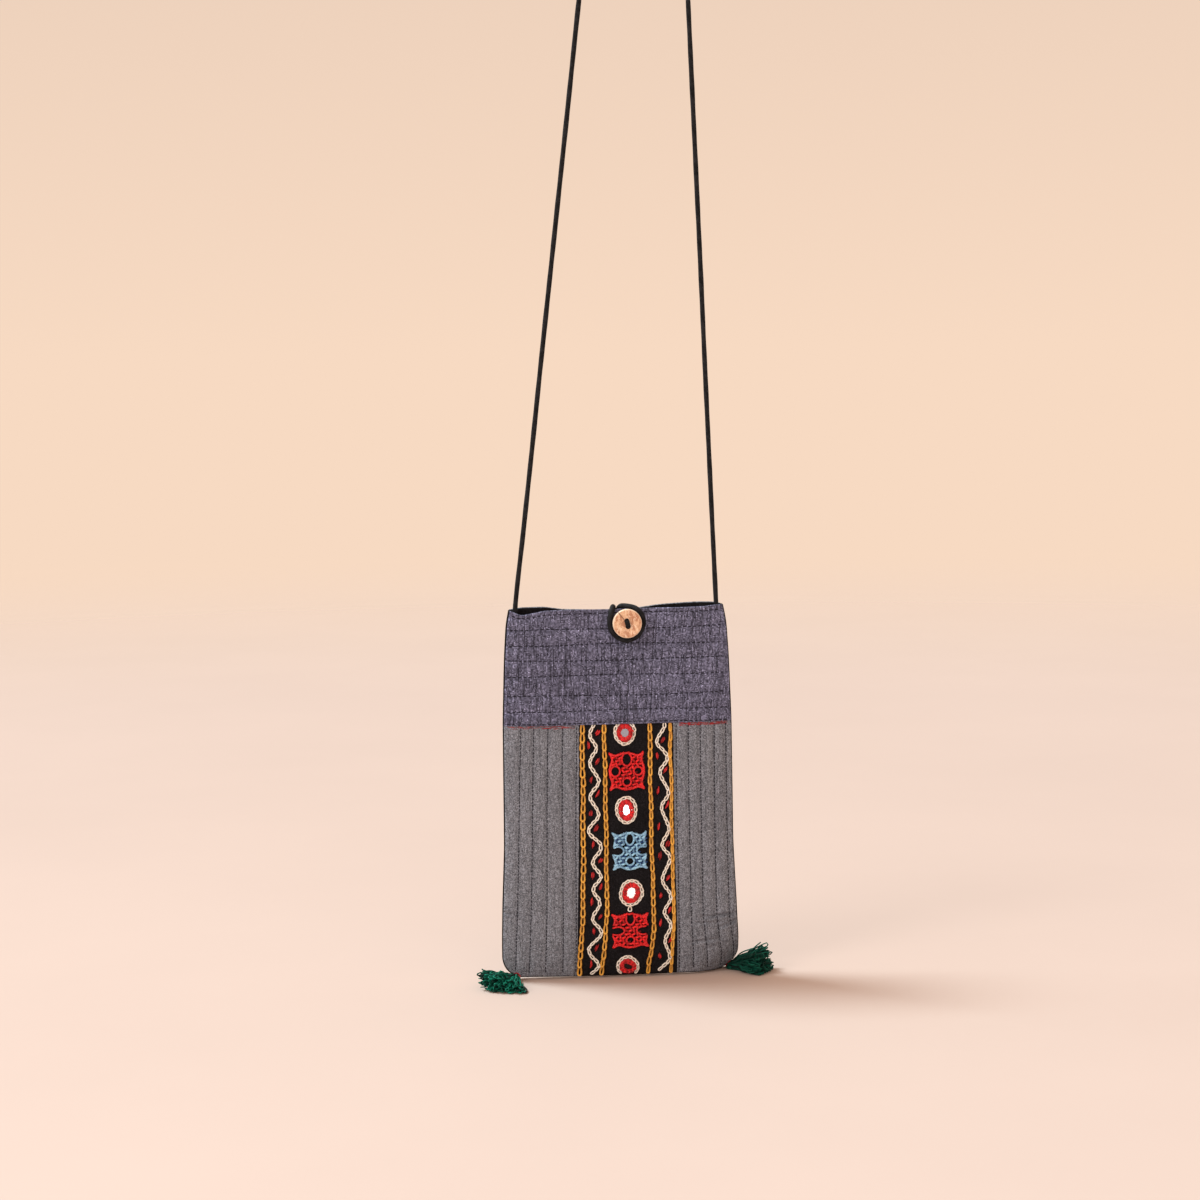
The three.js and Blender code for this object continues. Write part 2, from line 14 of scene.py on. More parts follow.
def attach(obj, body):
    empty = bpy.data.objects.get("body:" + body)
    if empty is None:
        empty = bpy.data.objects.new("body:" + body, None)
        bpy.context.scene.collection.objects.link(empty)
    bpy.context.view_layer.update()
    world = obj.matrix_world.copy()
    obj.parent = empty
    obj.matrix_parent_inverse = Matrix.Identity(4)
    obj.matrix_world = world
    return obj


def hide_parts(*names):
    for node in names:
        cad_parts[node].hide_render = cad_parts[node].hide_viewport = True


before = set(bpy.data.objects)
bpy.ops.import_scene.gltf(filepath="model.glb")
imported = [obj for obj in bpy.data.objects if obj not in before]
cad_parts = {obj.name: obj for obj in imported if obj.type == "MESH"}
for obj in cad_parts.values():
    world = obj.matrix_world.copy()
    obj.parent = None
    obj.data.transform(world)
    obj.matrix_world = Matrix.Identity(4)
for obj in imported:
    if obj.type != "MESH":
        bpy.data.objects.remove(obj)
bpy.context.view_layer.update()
RANDOM = np.random.default_rng(7)

MM = 0.001
TURN = 2 * math.pi
TINY = 1e-9
POUCH_PLACE = np.array([-14.0, 0.0, -355.0])

# Camera: the photograph's place in metres, its turns in degrees, and its lens
CAMERA_PLACE = (-0.1284, -1.2184, -0.2286)
CAMERA_YAW, CAMERA_PITCH, CAMERA_ROLL = -5, 84.29, -0.8
LENS, SENSOR = 75, 36
CLIP_START, CLIP_END = 0.05, 60

# Sling: its way across and up, in the model's frame, and waves in its thickness: height, radians, start
SLING_RADIUS = 1.2
SLING_ROUTE = [
    (-63.9, -363), (-63.7, -355), (-58.8, -315), (-53.9, -275), (-49.1, -235), (-44.2, -195), (-39.3, -155),
    (-34.4, -115), (-29.6, -75), (-25.9, -45), (-23.1, -22), (-21.4, -12.9), (-16.4, -5.3), (-8.9, -0.5),
    (0, 1.15), (8.9, -0.5), (16.4, -5.3), (21.5, -12.9), (23.3, -22), (24.2, -45), (25.3, -75), (26.8, -115),
    (28.3, -155), (29.8, -195), (31.2, -235), (32.7, -275), (34.2, -315), (35.7, -355), (35.9, -363),
]
SLING_STEPS = 420
SLING_LUMPS = [(0.03, 260, 0), (0.025, 97, 1.3)]

# Outline of the pouch, and the half widths that places across are shares of, on the yoke and at the foot
HEIGHT = 182.5
TOP_HALF = 56.4
LOW_HALF = 58.5
BOTTOM_BOW = 1.0
CORNER_RADIUS = 10.0
WIDTH_BLUR = 7.0
BLUR_SAMPLES = 9
# Drop under the mouth, half width
WIDTHS = [
    (-4, 51.8), (0, 52.2), (5, 53.7), (24, 55.0), (55, 56.2), (118, 56.6), (148, 58.0), (166, 58.5),
    (190, 58.5),
]
# Place across from -1 to 1, height of the front lip, height of the back lip
RIM = [
    (-1, 0.2, 0.2), (-0.89, -2.3, 1.0), (-0.67, 0.1, 0.9), (-0.5, 0.3, -0.5), (-0.1, 0.0, -1.1),
    (0.15, 0.1, -0.8), (0.4, 0.3, 0.9), (0.8, 0.4, 1.9), (0.93, 1.0, 1.8), (1, 1.0, 1.0),
]
RIM_BLUR = 0.05
RIM_FADE = 12.0

# Layers of cloth
CLOTH = 1.5
BAND_CLOTH = 1.2
LINING = 1.0
LAYER_GAP = 0.45
EDGE_TAPER = 5.0
EDGE_THIN = 0.7
EDGE_ROUND = 0.9
EDGE_STEPS = np.array([0, 0.04, 0.14, 0.32, 0.6])
LEAST_CLOTH = 0.6
CREASED_CLOTH = 0.2
SIDE_WALL = 1.1
LINING_PEEK = 0.55
LINING_DROP = 0.25
# Share of the lining's drop over which its lip is round
LIP_ROUND = 0.012
LINING_COLUMNS, LINING_ROWS = 90, 80
# Distances between the points of each piece of cloth
YOKE_STEP, PANEL_STEP, BAND_STEP, BACK_STEP = 0.6, 0.5, 0.7, 0.85

# Room inside, as half of the space between the lining's walls
BELLY = 3.6
MOUTH_PINCH = 2.5
MOUTH_OPEN = 4.2
PINCH_WIDE = 0.17
MOUTH_DEPTH = 45.0
EDGE_ROOM = 0.2
CORD_ROOM = 1.6
CORD_ROOM_DROP = 10.0
SIDE_RAMP = 24.0
BOTTOM_RAMP = 34.0
# The lower right corner is curled back: a place on the fold and the way across it
CORNER_FOLD = (55.5, -162.5)
CORNER_WAY = (0.7, -0.714)
FOLD_CURL = 0.07
FOLD_SOFT = 4.0
FOLD_SPREAD = 0.15

# Seams: allowances under the folded edges, and how far those lift the cloth that lies over them
YOKE_DROP = 57.0
BAND_LEFT = (-19.4, -21.9)
BAND_RIGHT = (26.9, 27.8)
FOLD_CLEAR = 0.15
YOKE_END = YOKE_DROP - FOLD_CLEAR
YOKE_FOLD = 0.3
YOKE_FOLD_WIDE = 1.6
FLANGE = 2.2
FLANGE_CLOTH = 0.5
FLANGE_LIFT = 0.7
FLANGE_EASE = 1.2
FLANGE_ROOM = 0.3
# Distances past a seam over which the panels, the band and its stitches rise to their full height
PANEL_RISE = (-0.4, 1.3)
BAND_RISE = (-0.3, 0.8)
STITCH_RISE = (-0.3, 0.9)

# Quilting rows: drops on the yoke, and places across at the yoke and at the lower edge on the panels
YOKE_ROWS = [2.0, 9.5, 17.2, 24.9, 32.4, 42.3, 49.8, 55.9]
LEFT_ROWS = [(-47.9, -52.7), (-41.6, -45.8), (-34.8, -37.8), (-27.8, -29.3), (-20.9, -22.9)]
RIGHT_ROWS = [(28.4, 28.8), (34.5, 34.9), (40.5, 40.9), (47.5, 47.7), (53.5, 54.3)]
BACK_ROWS = np.arange(-5, 6) * 11.0
BACK_LIP_ROW = 2.0
# The rows wave a little, and the outer ones on the right bend out near the foot
ROW_WAVE = 0.3
PANEL_WAVE = 0.18
YOKE_WAVE_RUN, PANEL_WAVE_RUN, BACK_WAVE_RUN = 15, 19, 21
ROW_BEND = 2.2
BEND_DROPS = (150, 176)
BEND_WIDE = 14
QUILT_DIP = 0.7
QUILT_WIDE = 1.25
# Quilting stitches: pitch, length and radius
YOKE_STITCH = (2.5, 1.6, 0.3)
PANEL_STITCH = (1.9, 1.4, 0.26)
STITCH_JITTER = 0.12
STITCH_HALVES = (0.42, 0.55)
# Where rows end: under the yoke's fold, above the lower edge, under the back's lip, and across along that lip
ROW_TOP, ROW_FOOT, BACK_ROW_TOP, LIP_ROW_HALF = 0.8, 1.2, 3.4, 51
# A quilting stitch from end to end: share of its half length, lift, share of its radius
STITCH_SHAPE = np.array([(-1, -0.16, 0.6), (-0.8, 0, 0.95), (0, 0.07, 1), (0.8, 0, 0.95), (1, -0.16, 0.6)])
QUILT_SIDES = 5
# Dark uneven warp threads of the yoke, and dark threads laid in its deep creases as painted shade:
# how many, radius, field across and down, lengths
SLUBS_AND_PAINTED_CREASES = 60
SLUB_AND_PAINTED_CREASE_RADIUS = 0.13
SLUB_FIELD = ((-52, 52), (0.5, 44))
SLUB_LENGTHS = (4, 26)
# Creases in the panels: middle across, drop, half length, slope, depth
CREASES = [
    (50, 154.5, 8, 0.06, 1.8), (54, 159, 5, 0.35, 1.3), (40, 158, 5, -0.1, 0.7), (42, 167, 8, 0.1, 0.8),
    (-50, 151, 8, -0.1, 0.6),
]
CREASE_WIDE = 0.8
# Ridges beside a crease: distance in its half widths, share of its depth
RIDGES = [(1.8, 0.6), (-1.8, 0.45)]
# Fibres along the yoke's seam: from and to across, how many, radius, and the rows of the panel they lie on
SEAM_FIBRES = [(-54, -20, 70, 0.06, LEFT_ROWS), (29.5, 54, 80, 0.08, RIGHT_ROWS)]
FIBRE_LIFT = 0.12

# Button, its thread and its loop
BUTTON_ACROSS = 4.5
BUTTON_DROP = 6.7
BUTTON_RADIUS = 7.15
BUTTON_THICK = 2.8
BUTTON_EDGE = 0.9
BUTTON_HOLLOW = 0.25
BUTTON_HOLE_RADIUS = 1.25
BUTTON_HOLE_PITCH = 2.9
BUTTON_TURN = math.radians(13)
BUTTON_SIDES, HOLE_SIDES = 72, 28
# Room for the loop's cord between the yoke and the button
BUTTON_STAND = 3.4
BUTTON_STRANDS = 4
STRAND_RADIUS = 0.5
STRAND_PITCH = 0.48
LOOP_RADIUS = 8.0
LOOP_CORD_RADIUS = 1.42
LOOP_CLEAR = 0.3
LOOP_LUMPS = [(0.03, 42, 0)]
CORD_SIDES = 14

MIRROR_RADIUS = 3.2
MIRROR_THICK = 0.5
MIRROR_GAP = 0.1
MIRROR_SIDES = 40
# Edge of a mirror, from its back to its face: share of its radius, share of its thickness
MIRROR_EDGE = [(1, 0), (1, 0.75), (0.94, 1)]
# Mirrors on the band: place across, drop, lean back in degrees, colour of the silvering, painted darker
# on the first and last mirror as a dark reflection
MIRRORS = [
    (2.9, 61.1, 0, (0.36, 0.38, 0.45)),
    (3.2, 99.7, 5, (0.94, 0.95, 0.96)),
    (5.1, 141.3, 5, (0.94, 0.95, 0.96)),
    (3.2, 178.9, 0, (0.05, 0.045, 0.05)),
]

# Tassels and beads
FLOOR_DROP = HEIGHT + 1.8
BEAD_RADIUS = 2.1
BEAD_BORE = 0.8
BEAD_GAP = 0.3
BEAD_STEPS, BEAD_SIDES = 18, 32
STRING_LIFT = 0.2
STRING_RADIUS = 0.45
HEAD_GAP = 0.6
LOOPS = 165
ENDS = 140
STRAYS = 0.05
STRAY_REACH = 1.3
STRAND_LENGTHS = (0.82, 1.06)
STRAND_STEPS, HOME_STEPS = 14, 7
ROOT_SPREAD = 0.9
ARCH_LIFT = 0.8
CRIMP = 0.45
CURL = 1.5
TASSEL_THREAD = 0.33
NECK_RADIUS = 2.0
NECK_HALF = 1.2
NECK_COILS = 5
NECK_STEPS = 110
NECK_THREAD = 0.34
# Where each string leaves the lower seam, its way, the strands' middle, the two spreads of their ways,
# and how light the lightest strands are, lower on the right as painted shadow on the same thread
TASSELS = {
    "left": (-51.8, (-1.1, -5.2, -1.7), (-7.8, -20.5, 1.6), (-12.5, 9, 3.5), (-2, 2, 6.5), 1.0),
    "right": (53.5, (2.5, -4.8, -0.6), (15.5, -10, 2), (-5, -9, -3.5), (-6, 0, 8), 0.45),
}

# Embroidery
# Heights between which it shows: a little under the yoke's fold and past the lower seam
IN_VIEW = (-HEIGHT - 0.3, -YOKE_DROP + 1.2)
# Gold lines: place across at the yoke, at half height, above the foot and at the foot, and their width
GOLD_DROPS = (57, 120, 160, 182)
GOLD_LINES = [
    (-18.1, -18.4, -19.5, -21.2, 2.9),
    (-7.3, -7.0, -7.6, -10.2, 2.6),
    (15.3, 15.5, 16.0, 13.3, 2.6),
    (25.4, 25.8, 26.1, 24.6, 2.1),
]
GOLD_LINK = 4.3
GOLD_THREAD = 0.46
GOLD_WAVE = 0.15
CHAIN_STEPS = 16
CHAIN_JITTER = 0.08
# Turns of each cream zigzag, from side to side: place across and drop, from under the yoke to the foot
ZIGZAGS = {
    "left": [
        (-9.8, 53.5), (-14.5, 61.8), (-11.1, 68.0), (-14.8, 75.9), (-10.0, 85.2), (-14.8, 92.3),
        (-10.4, 101.9), (-16.0, 109.4), (-9.3, 117.5), (-13.9, 125.6), (-9.6, 133.0), (-14.1, 138.8),
        (-10.4, 146.2), (-14.5, 153.8), (-9.6, 161.2), (-16.6, 169.8), (-11.1, 178.4), (-17.5, 184.0),
    ],
    "right": [
        (21.6, 53.5), (22.8, 57.8), (18.6, 66.2), (24.2, 74.0), (19.9, 81.1), (24.4, 91.5), (20.5, 98.6),
        (24.4, 109.6), (20.5, 118.2), (25.0, 124.0), (20.5, 135.2), (25.2, 144.2), (21.3, 151.4),
        (24.8, 158.1), (21.6, 166.5), (24.4, 175.4), (18.6, 181.5),
    ],
}
CREAM_LINK = 2.8
CREAM_WIDE = 2.0
CREAM_THREAD = 0.35
# Red dashes: distance from a turn to the left of it and to the right of it, length, thread and its taper
DASH_AWAY = {"left": (4.1, 4.1), "right": (5.3, 3.0)}
DASH_LENGTH = 4.3
DASH_THREAD = 0.36
DASH_TAPER = np.array([0.5, 0.85, 1, 1, 1, 0.85, 0.5])
DASH_RISE = 0.5
# Turn of a dash in degrees, what its side takes off or adds, and how far it swings
DASH_TILT, DASH_LEAN, DASH_SWING = 16, 12, 8
STITCH_SINK = 0.3
# Interlaced squares: place across, drop, half width, half height, colour
SQUARES = [
    (3.7, 80.2, 9.1, 9.8, "red"),
    (4.7, 120.2, 8.9, 9.8, "blue"),
    (4.5, 160.4, 9.6, 9.2, "red"),
]
# An eighth of a square's outline, from the middle of its upper side to its corner, in half widths
SQUARE_OCTANT = [(0.0, 0.97), (0.2, 0.97), (0.46, 0.87), (0.66, 0.79), (0.84, 0.89), (1.0, 1.03)]
SQUARE_INSET = 0.95
SQUARE_PITCH = 1.7
SQUARE_COUNT = 7
SQUARE_THREAD = 0.54
SQUARE_REACH = 0.85
# Turns of the two ways of the stitches and how far single ones swing, in degrees; reach of those underneath
SQUARE_ANGLES = (22, 112)
SQUARE_SWING = 20
UNDER_REACH = np.array([0.8, 0.3])
# Shades of the two ways of the stitches, one lighter than the other as painted light and shade
SQUARE_SHADES = {"red": (0.95, 0.6), "blue": (1.0, 0.4)}
# Gaps of each square, from the upper one round to the left: distance from the middle, half length, half width
EYES = [
    [(0.59, 0.36, 0.29), (0.61, 0.27, 0.23), (0.55, 0.23, 0.26), (0.63, 0.28, 0.29)],
    [(0.61, 0.34, 0.25), (0.7, 0.36, 0.23), (0.52, 0.23, 0.26), (0.66, 0.36, 0.25)],
    [(0.64, 0.36, 0.24), (0.68, 0.4, 0.24), (0.53, 0.24, 0.24), (0.66, 0.4, 0.24)],
]
EYE_WAYS = np.array([(0, 1), (1, 0), (0, -1), (-1, 0)])
EYE_STEPS = 80
EYE_POINTED = 1.25
EYE_MARGIN = 1.15
# Stitches of a roped edge: pitch in radii, slant as a share of their length
ROPE_PITCH = 2.6
ROPE_SLANT = 0.08
# Stitched rings: half width and half height of the ring, of the mirror's window, and the ring's turn
RINGS = [
    (4.9, 5.6, 2.0, 2.0, 0),
    (4.85, 6.4, 1.55, 2.5, 4),
    (5.4, 6.2, 2.05, 2.6, -12),
    (5.2, 4.8, 2.2, 1.3, -25),
]
RING_THREAD = 0.44
RING_STEPS = 200
RING_WOBBLE = 0.03
RING_SPOKES = 30
RING_LAP = 1.9
# Link, width and thread of the chain round a ring, and of the one link under the third
RING_CHAIN = (2.5, 1.95, 0.36)
RING_TAIL = (2.3, 2.8, 0.31)

# Floor: radius and fade in metres, gap under the tassels in millimetres
FLOOR_RADIUS = 2.7
FLOOR_SIDES = 64
FLOOR_FADE = (0.9, 2.6)
FLOOR_GAP = 0.4
FLOOR_COLOURS = ((0.512, 0.393, 0.342, 1), (0.532, 0.409, 0.356, 1))
# Backdrop: place on the way up, colour
BACKDROP = [(0.0, (0.93, 0.7, 0.54, 1)), (0.2, (0.82, 0.62, 0.49, 1))]
LIGHT_AIM = (-0.014, 0, -0.45)
# Lights: name, kind, place, power, colour, and settings of their own
LIGHTS = [
    ("main", "SUN", (-0.9, 0.4, 0.95), 4.15, (0.725, 0.9, 0.965), {"angle": math.radians(20)}),
    ("front", "AREA", (-1.25, -0.95, 0.35), 10.0, (1, 0.98, 0.96), {"shape": "DISK", "size": 0.7}),
    ("card", "AREA", (0.3, -2.2, -0.1), 8.0, (1, 1, 1), {"shape": "DISK", "size": 1.2}),
]


# Lines, tables and shaping


def lerp(a, b, share):
    return a + (b - a) * share


def smoothstep(value, low, high):
    share = np.clip((value - low) / (high - low), 0, 1)
    return share * share * (3 - 2 * share)


def bell(distance, wide=1.0):
    """1 at no distance, fading smoothly over a width on either side."""
    return np.exp(-((distance / wide) ** 2))


def unit(vectors):
    return vectors / np.maximum(np.linalg.norm(vectors, axis=-1, keepdims=True), TINY)


def circle(sides):
    """Cosines and sines of even steps round a full turn."""
    turns = np.arange(sides) * TURN / sides
    return np.column_stack([np.cos(turns), np.sin(turns)])


def run_along(points):
    """Distance run along a line at each of its points."""
    return np.concatenate([[0], np.linalg.norm(np.diff(points, axis=0), axis=1).cumsum()])


def length_of(points):
    return run_along(points)[-1]


def evenly(points, count):
    """Points at even steps along a line of straight pieces."""
    run = run_along(points)
    places = np.linspace(0, run[-1], count)
    return np.column_stack([np.interp(places, run, column) for column in points.T])


def curve_part(a, b, c, d, steps=24):
    """Points from b towards c, on a smooth curve through the four points."""
    gaps = np.linalg.norm([b - a, c - b, d - c], axis=1)
    knots = np.concatenate([[0], np.sqrt(np.maximum(gaps, TINY)).cumsum()])
    t = np.linspace(knots[1], knots[2], steps, endpoint=False)[:, None]

    def between(i, j, p, q):
        return ((knots[j] - t) * p + (t - knots[i]) * q) / (knots[j] - knots[i])

    first, middle, last = between(0, 1, a, b), between(1, 2, b, c), between(2, 3, c, d)
    return between(1, 2, between(0, 2, first, middle), between(1, 3, middle, last))


def smooth_curve(points, count, closed=False):
    """Points at even steps along a smooth curve through the given ones."""
    points = np.asarray(points, float)
    if closed:
        points = np.concatenate([points[-1:], points, points[:2]])
    else:
        points = np.concatenate([[2 * points[0] - points[1]], points, [2 * points[-1] - points[-2]]])
    parts = [curve_part(*four) for four in zip(points, points[1:], points[2:], points[3:])]
    return evenly(np.concatenate([*parts, points[-2:-1]]), count)


def table_value(table, column, place, blur):
    """Value of a table's column between its rows, with the corners rounded over a distance."""
    places, values = np.array(table)[:, [0, column]].T
    offsets = np.linspace(-1, 1, BLUR_SAMPLES)
    weights = 1.1 - np.abs(offsets)
    total = sum(w * np.interp(place + blur * o, places, values) for o, w in zip(offsets, weights))
    return total / weights.sum()


def half_width(z):
    return table_value(WIDTHS, 1, -np.asarray(z, float), WIDTH_BLUR)


def rim(across, back):
    return table_value(RIM, 2 if back else 1, np.asarray(across, float), RIM_BLUR)


def bottom_at(across, inset=0.0):
    """Lower edge of the pouch: nearly straight, with round corners."""
    reach = LOW_HALF - inset
    into = np.clip(np.abs(across) * reach - (reach - CORNER_RADIUS), 0, CORNER_RADIUS)
    lift = CORNER_RADIUS - np.sqrt(CORNER_RADIUS**2 - into**2)
    return -HEIGHT - BOTTOM_BOW * (1 - across**2) + inset + lift


def ramp(distance, length):
    return 1 - (1 - np.clip(distance / length, 0, 1)) ** 2


def half_room(across, z):
    """Half of the space inside the lining."""
    button = BUTTON_ACROSS / TOP_HALF
    way = np.abs(across - button) / (1 - np.sign(across - button) * button)
    past = np.clip((way - PINCH_WIDE) / (1 - PINCH_WIDE), 0, 1)
    mouth = lerp(MOUTH_PINCH, MOUTH_OPEN, np.sin(np.pi * past) ** 2)
    middle = lerp(BELLY, mouth, smoothstep(z, -MOUTH_DEPTH, 0))
    edge = lerp(EDGE_ROOM, CORD_ROOM, np.clip((z + YOKE_DROP) / (YOKE_DROP - CORD_ROOM_DROP), 0, 1))
    side = ramp((1 - np.abs(across)) * half_width(z), SIDE_RAMP)
    bottom = ramp(z - bottom_at(across), BOTTOM_RAMP)
    return edge + (middle - edge) * side * bottom


def taper(across, z):
    """Share of a layer's thickness that is left near the seam round the pouch."""
    side = (1 - np.abs(across)) * half_width(z)
    near = np.minimum(side, z - bottom_at(across))
    return lerp(EDGE_THIN, 1, np.clip(near / EDGE_TAPER, 0, 1))


def cloth_depth(across, z):
    """Depth of the lining's outside, with a small gap, from the middle of the pouch."""
    return half_room(across, z) + LINING * taper(across, z) + LAYER_GAP


def placed(x, y, z):
    """Points of the pouch, with its lower right corner curled back along a slanting line."""
    past = (x - CORNER_FOLD[0]) * CORNER_WAY[0] + (z - CORNER_FOLD[1]) * CORNER_WAY[1]
    bent = (past + np.sqrt(past**2 + FOLD_SOFT**2)) / 2
    out = FOLD_SPREAD * bent
    parts = x + out * CORNER_WAY[0], y + FOLD_CURL * bent**2, z + out * CORNER_WAY[1]
    return np.stack(np.broadcast_arrays(*parts), -1)


def front_point(x, z, depth):
    """A point at a depth in front of the pouch's middle."""
    return placed(x, -depth, z)


def creased(x, z):
    """Depth of the pressed creases: a narrow groove between two ridges."""
    deep = np.zeros(np.broadcast(x, z).shape)
    for across, drop, half, slope, depth in CREASES:
        off = (-z - drop + slope * (x - across)) / CREASE_WIDE
        ridges = sum(share * bell(off - place) for place, share in RIDGES)
        deep += depth * bell(x - across, half) * (bell(off) - ridges)
    return deep


def make_wrinkles(count, across, up, turn, spread, sizes):
    """Short random creases in a field: rows of middle, way, half length, half width and depth.

    Their ways have a mean turn and a spread, in degrees, and their sizes lie about the given ones."""
    x = RANDOM.uniform(*across, count)
    z = RANDOM.uniform(*up, count)
    way = np.radians(RANDOM.normal(turn, spread, count))
    return np.column_stack([x, z, way, RANDOM.uniform(0.5, 1.3, (count, 3)) * sizes])


def wrinkled(x, z, wrinkles):
    """Depth of the wrinkles at places."""
    deep = np.zeros(np.broadcast(x, z).shape)
    for at_x, at_z, way, half, wide, depth in wrinkles:
        along = (x - at_x) * math.cos(way) + (z - at_z) * math.sin(way)
        off = (z - at_z) * math.cos(way) - (x - at_x) * math.sin(way)
        deep += depth * np.exp(-((along / half) ** 2) - (off / wide) ** 2)
    return deep


# Deep creases of the yoke: middle across, height, way, half length, half width, depth
YOKE_CREASES = [
    (19.5, -10, 1.5, 9, 0.55, 0.55), (5, -45, 1.57, 11, 0.55, 0.5), (-14, -34, 1.6, 8, 0.5, 0.35),
]
YOKE_WRINKLES = np.vstack([make_wrinkles(150, (-54, 54), (-56, 0), 90, 8, (6, 0.75, 0.26)), YOKE_CREASES])
PANEL_WRINKLES = make_wrinkles(150, (-57, 57), (-182, -60), 0, 14, (4, 1.0, 0.27))
BACK_WRINKLES = make_wrinkles(170, (-56, 56), (-180, -4), 0, 16, (5, 1.0, 0.18))


# Outer faces of the cloth, as depth from the middle of the pouch


def quilted(distances):
    """How far the stitch rows draw the cloth in, from the distances to them."""
    return QUILT_DIP * np.minimum(sum(bell(distance, QUILT_WIDE) for distance in distances), 1)


def yoke_row(x, drop):
    return drop + ROW_WAVE * np.sin(x / YOKE_WAVE_RUN + 2.1 * drop)


def yoke_z(across, at):
    return rim(across, False) * np.maximum(0, 1 - at / RIM_FADE) - at


def yoke_outer(across, at):
    """Depth of the yoke's face at a distance under the front lip."""
    z = yoke_z(across, at)
    x = across * half_width(z)
    dip = quilted(at - yoke_row(x, row) for row in YOKE_ROWS)
    thick = CLOTH * taper(across, z) - dip + YOKE_FOLD * bell(YOKE_END - at, YOKE_FOLD_WIDE)
    return cloth_depth(across, z) + np.maximum(thick - wrinkled(x, z, YOKE_WRINKLES), LEAST_CLOTH)


def lower_share(z):
    return np.clip((-z - YOKE_DROP) / (HEIGHT - YOKE_DROP), 0, 1)


def upright_row(row, z):
    """Place across of an upright stitch row of the panels."""
    x = lerp(row[0], row[1], lower_share(z))
    bend = ROW_BEND * smoothstep(-z, *BEND_DROPS) * np.clip((row[0] - BAND_RIGHT[0]) / BEND_WIDE, 0, 1)
    return x + bend + PANEL_WAVE * np.sin(z / PANEL_WAVE_RUN + row[0])


def back_row(row, z):
    return row + ROW_WAVE * np.sin(z / BACK_WAVE_RUN + row)


def panel_outer(x, z, rows):
    across = x / half_width(z)
    dip = quilted(x - upright_row(row, z) for row in rows)
    thick = np.maximum(CLOTH * taper(across, z) - dip - wrinkled(x, z, PANEL_WRINKLES), LEAST_CLOTH)
    thick = np.maximum(thick - creased(x, z), CREASED_CLOTH)
    return cloth_depth(across, z) + lerp(FLANGE_CLOTH, thick, smoothstep(-z - YOKE_DROP, *PANEL_RISE))


def band_outer(x, z):
    across = x / half_width(z)
    left = x - lerp(*BAND_LEFT, lower_share(z))
    right = lerp(*BAND_RIGHT, lower_share(z)) - x
    within = np.minimum(np.minimum(left, right), -z - YOKE_DROP)
    full = BAND_CLOTH * taper(across, z)
    return cloth_depth(across, z) + lerp(FLANGE_CLOTH, full, smoothstep(within, *BAND_RISE))


def back_outer(x, z):
    across = x / half_width(z)
    rows = [x - back_row(row, z) for row in BACK_ROWS]
    dip = quilted([*rows, rim(across, True) - z - BACK_LIP_ROW])
    thick = CLOTH * taper(across, z) - dip - wrinkled(x, z, BACK_WRINKLES)
    return cloth_depth(across, z) + np.maximum(thick, LEAST_CLOTH)


# Making pieces


def new_piece(name, points, faces, look, nodes=(), attributes=None):
    """A mesh piece from points in the pouch's frame, with smooth faces, that rides on the bag."""
    mesh = bpy.data.meshes.new(name)
    mesh.from_pydata(((points + POUCH_PLACE) * MM).tolist(), [], faces)
    for key, values in (attributes or {}).items():
        kind, field = ("FLOAT_VECTOR", "vector") if values.ndim == 2 else ("FLOAT", "value")
        layer = mesh.attributes.new(key, kind, "POINT")
        layer.data.foreach_set(field, values.astype(np.float32).ravel())
    mesh.polygons.foreach_set("use_smooth", np.ones(len(mesh.polygons), bool))
    mesh.materials.append(look)
    mesh.update()
    piece = bpy.data.objects.new(name, mesh)
    bpy.context.scene.collection.objects.link(piece)
    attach(piece, "root")
    if nodes:
        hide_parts(*nodes)
    return piece


def facing_out(points, faces):
    """The faces, turned round if the closed mesh that they make is inside out."""
    fans = np.array([(face[0], b, c) for face in faces for b, c in zip(face[1:], face[2:])])
    a, b, c = (points[fans[:, k]] for k in range(3))
    volume = np.einsum("ij,ij->", a, np.cross(b, c))
    return faces if volume > 0 else [face[::-1] for face in faces]


def lathe(profile, sides, capped=False):
    """Points and faces of a body turned about the Y axis, from (radius, y) places, flat-ended if capped."""
    cosine, sine = circle(sides).T
    points = np.concatenate([np.column_stack([r * cosine, np.full(sides, y), r * sine]) for r, y in profile])
    index = np.arange(len(points)).reshape(-1, sides)
    after = np.roll(index, -1, axis=1)
    faces = np.stack([index[:-1], index[1:], after[1:], after[:-1]], -1).reshape(-1, 4).tolist()
    if capped:
        faces += [index[0].tolist(), index[-1, ::-1].tolist()]
    return points, facing_out(points, faces)


def sheet_faces(rows, columns):
    """Faces of a closed double sheet: outer grid first, inner grid after it."""
    index = np.arange(2 * rows * columns).reshape(2, rows, columns)
    faces = []
    for grid in (index[0], index[1][:, ::-1]):
        quads = np.stack([grid[:-1, :-1], grid[:-1, 1:], grid[1:, 1:], grid[1:, :-1]], -1)
        faces.append(quads.reshape(-1, 4))
    loop = [(0, j) for j in range(columns)]
    loop += [(i, columns - 1) for i in range(1, rows)]
    loop += [(rows - 1, j) for j in range(columns - 2, -1, -1)]
    loop += [(i, 0) for i in range(rows - 2, 0, -1)]
    ring = np.array([[index[0][place], index[1][place]] for place in loop])
    after = np.roll(ring, -1, axis=0)
    faces.append(np.stack([ring[:, 0], ring[:, 1], after[:, 1], after[:, 0]], -1))
    return np.concatenate(faces).tolist()


def cloth_piece(name, x, z, outer, inner, edge, look, slot, node, way=-1):
    """A slab of cloth between two depths, which draw together where the distance to the edge is small."""
    share = np.sqrt(np.maximum(1 - (1 - np.clip(edge / EDGE_ROUND, 0, 1)) ** 2, 0.003))
    middle = lerp(inner, outer, 0.5)
    sheets = [placed(x, way * lerp(middle, depth, share), z) for depth in (outer, inner)]
    points = np.concatenate([sheet.reshape(-1, 3) for sheet in sheets])
    faces = facing_out(points, sheet_faces(*x.shape))
    return new_piece(name, points, faces, look, [node])


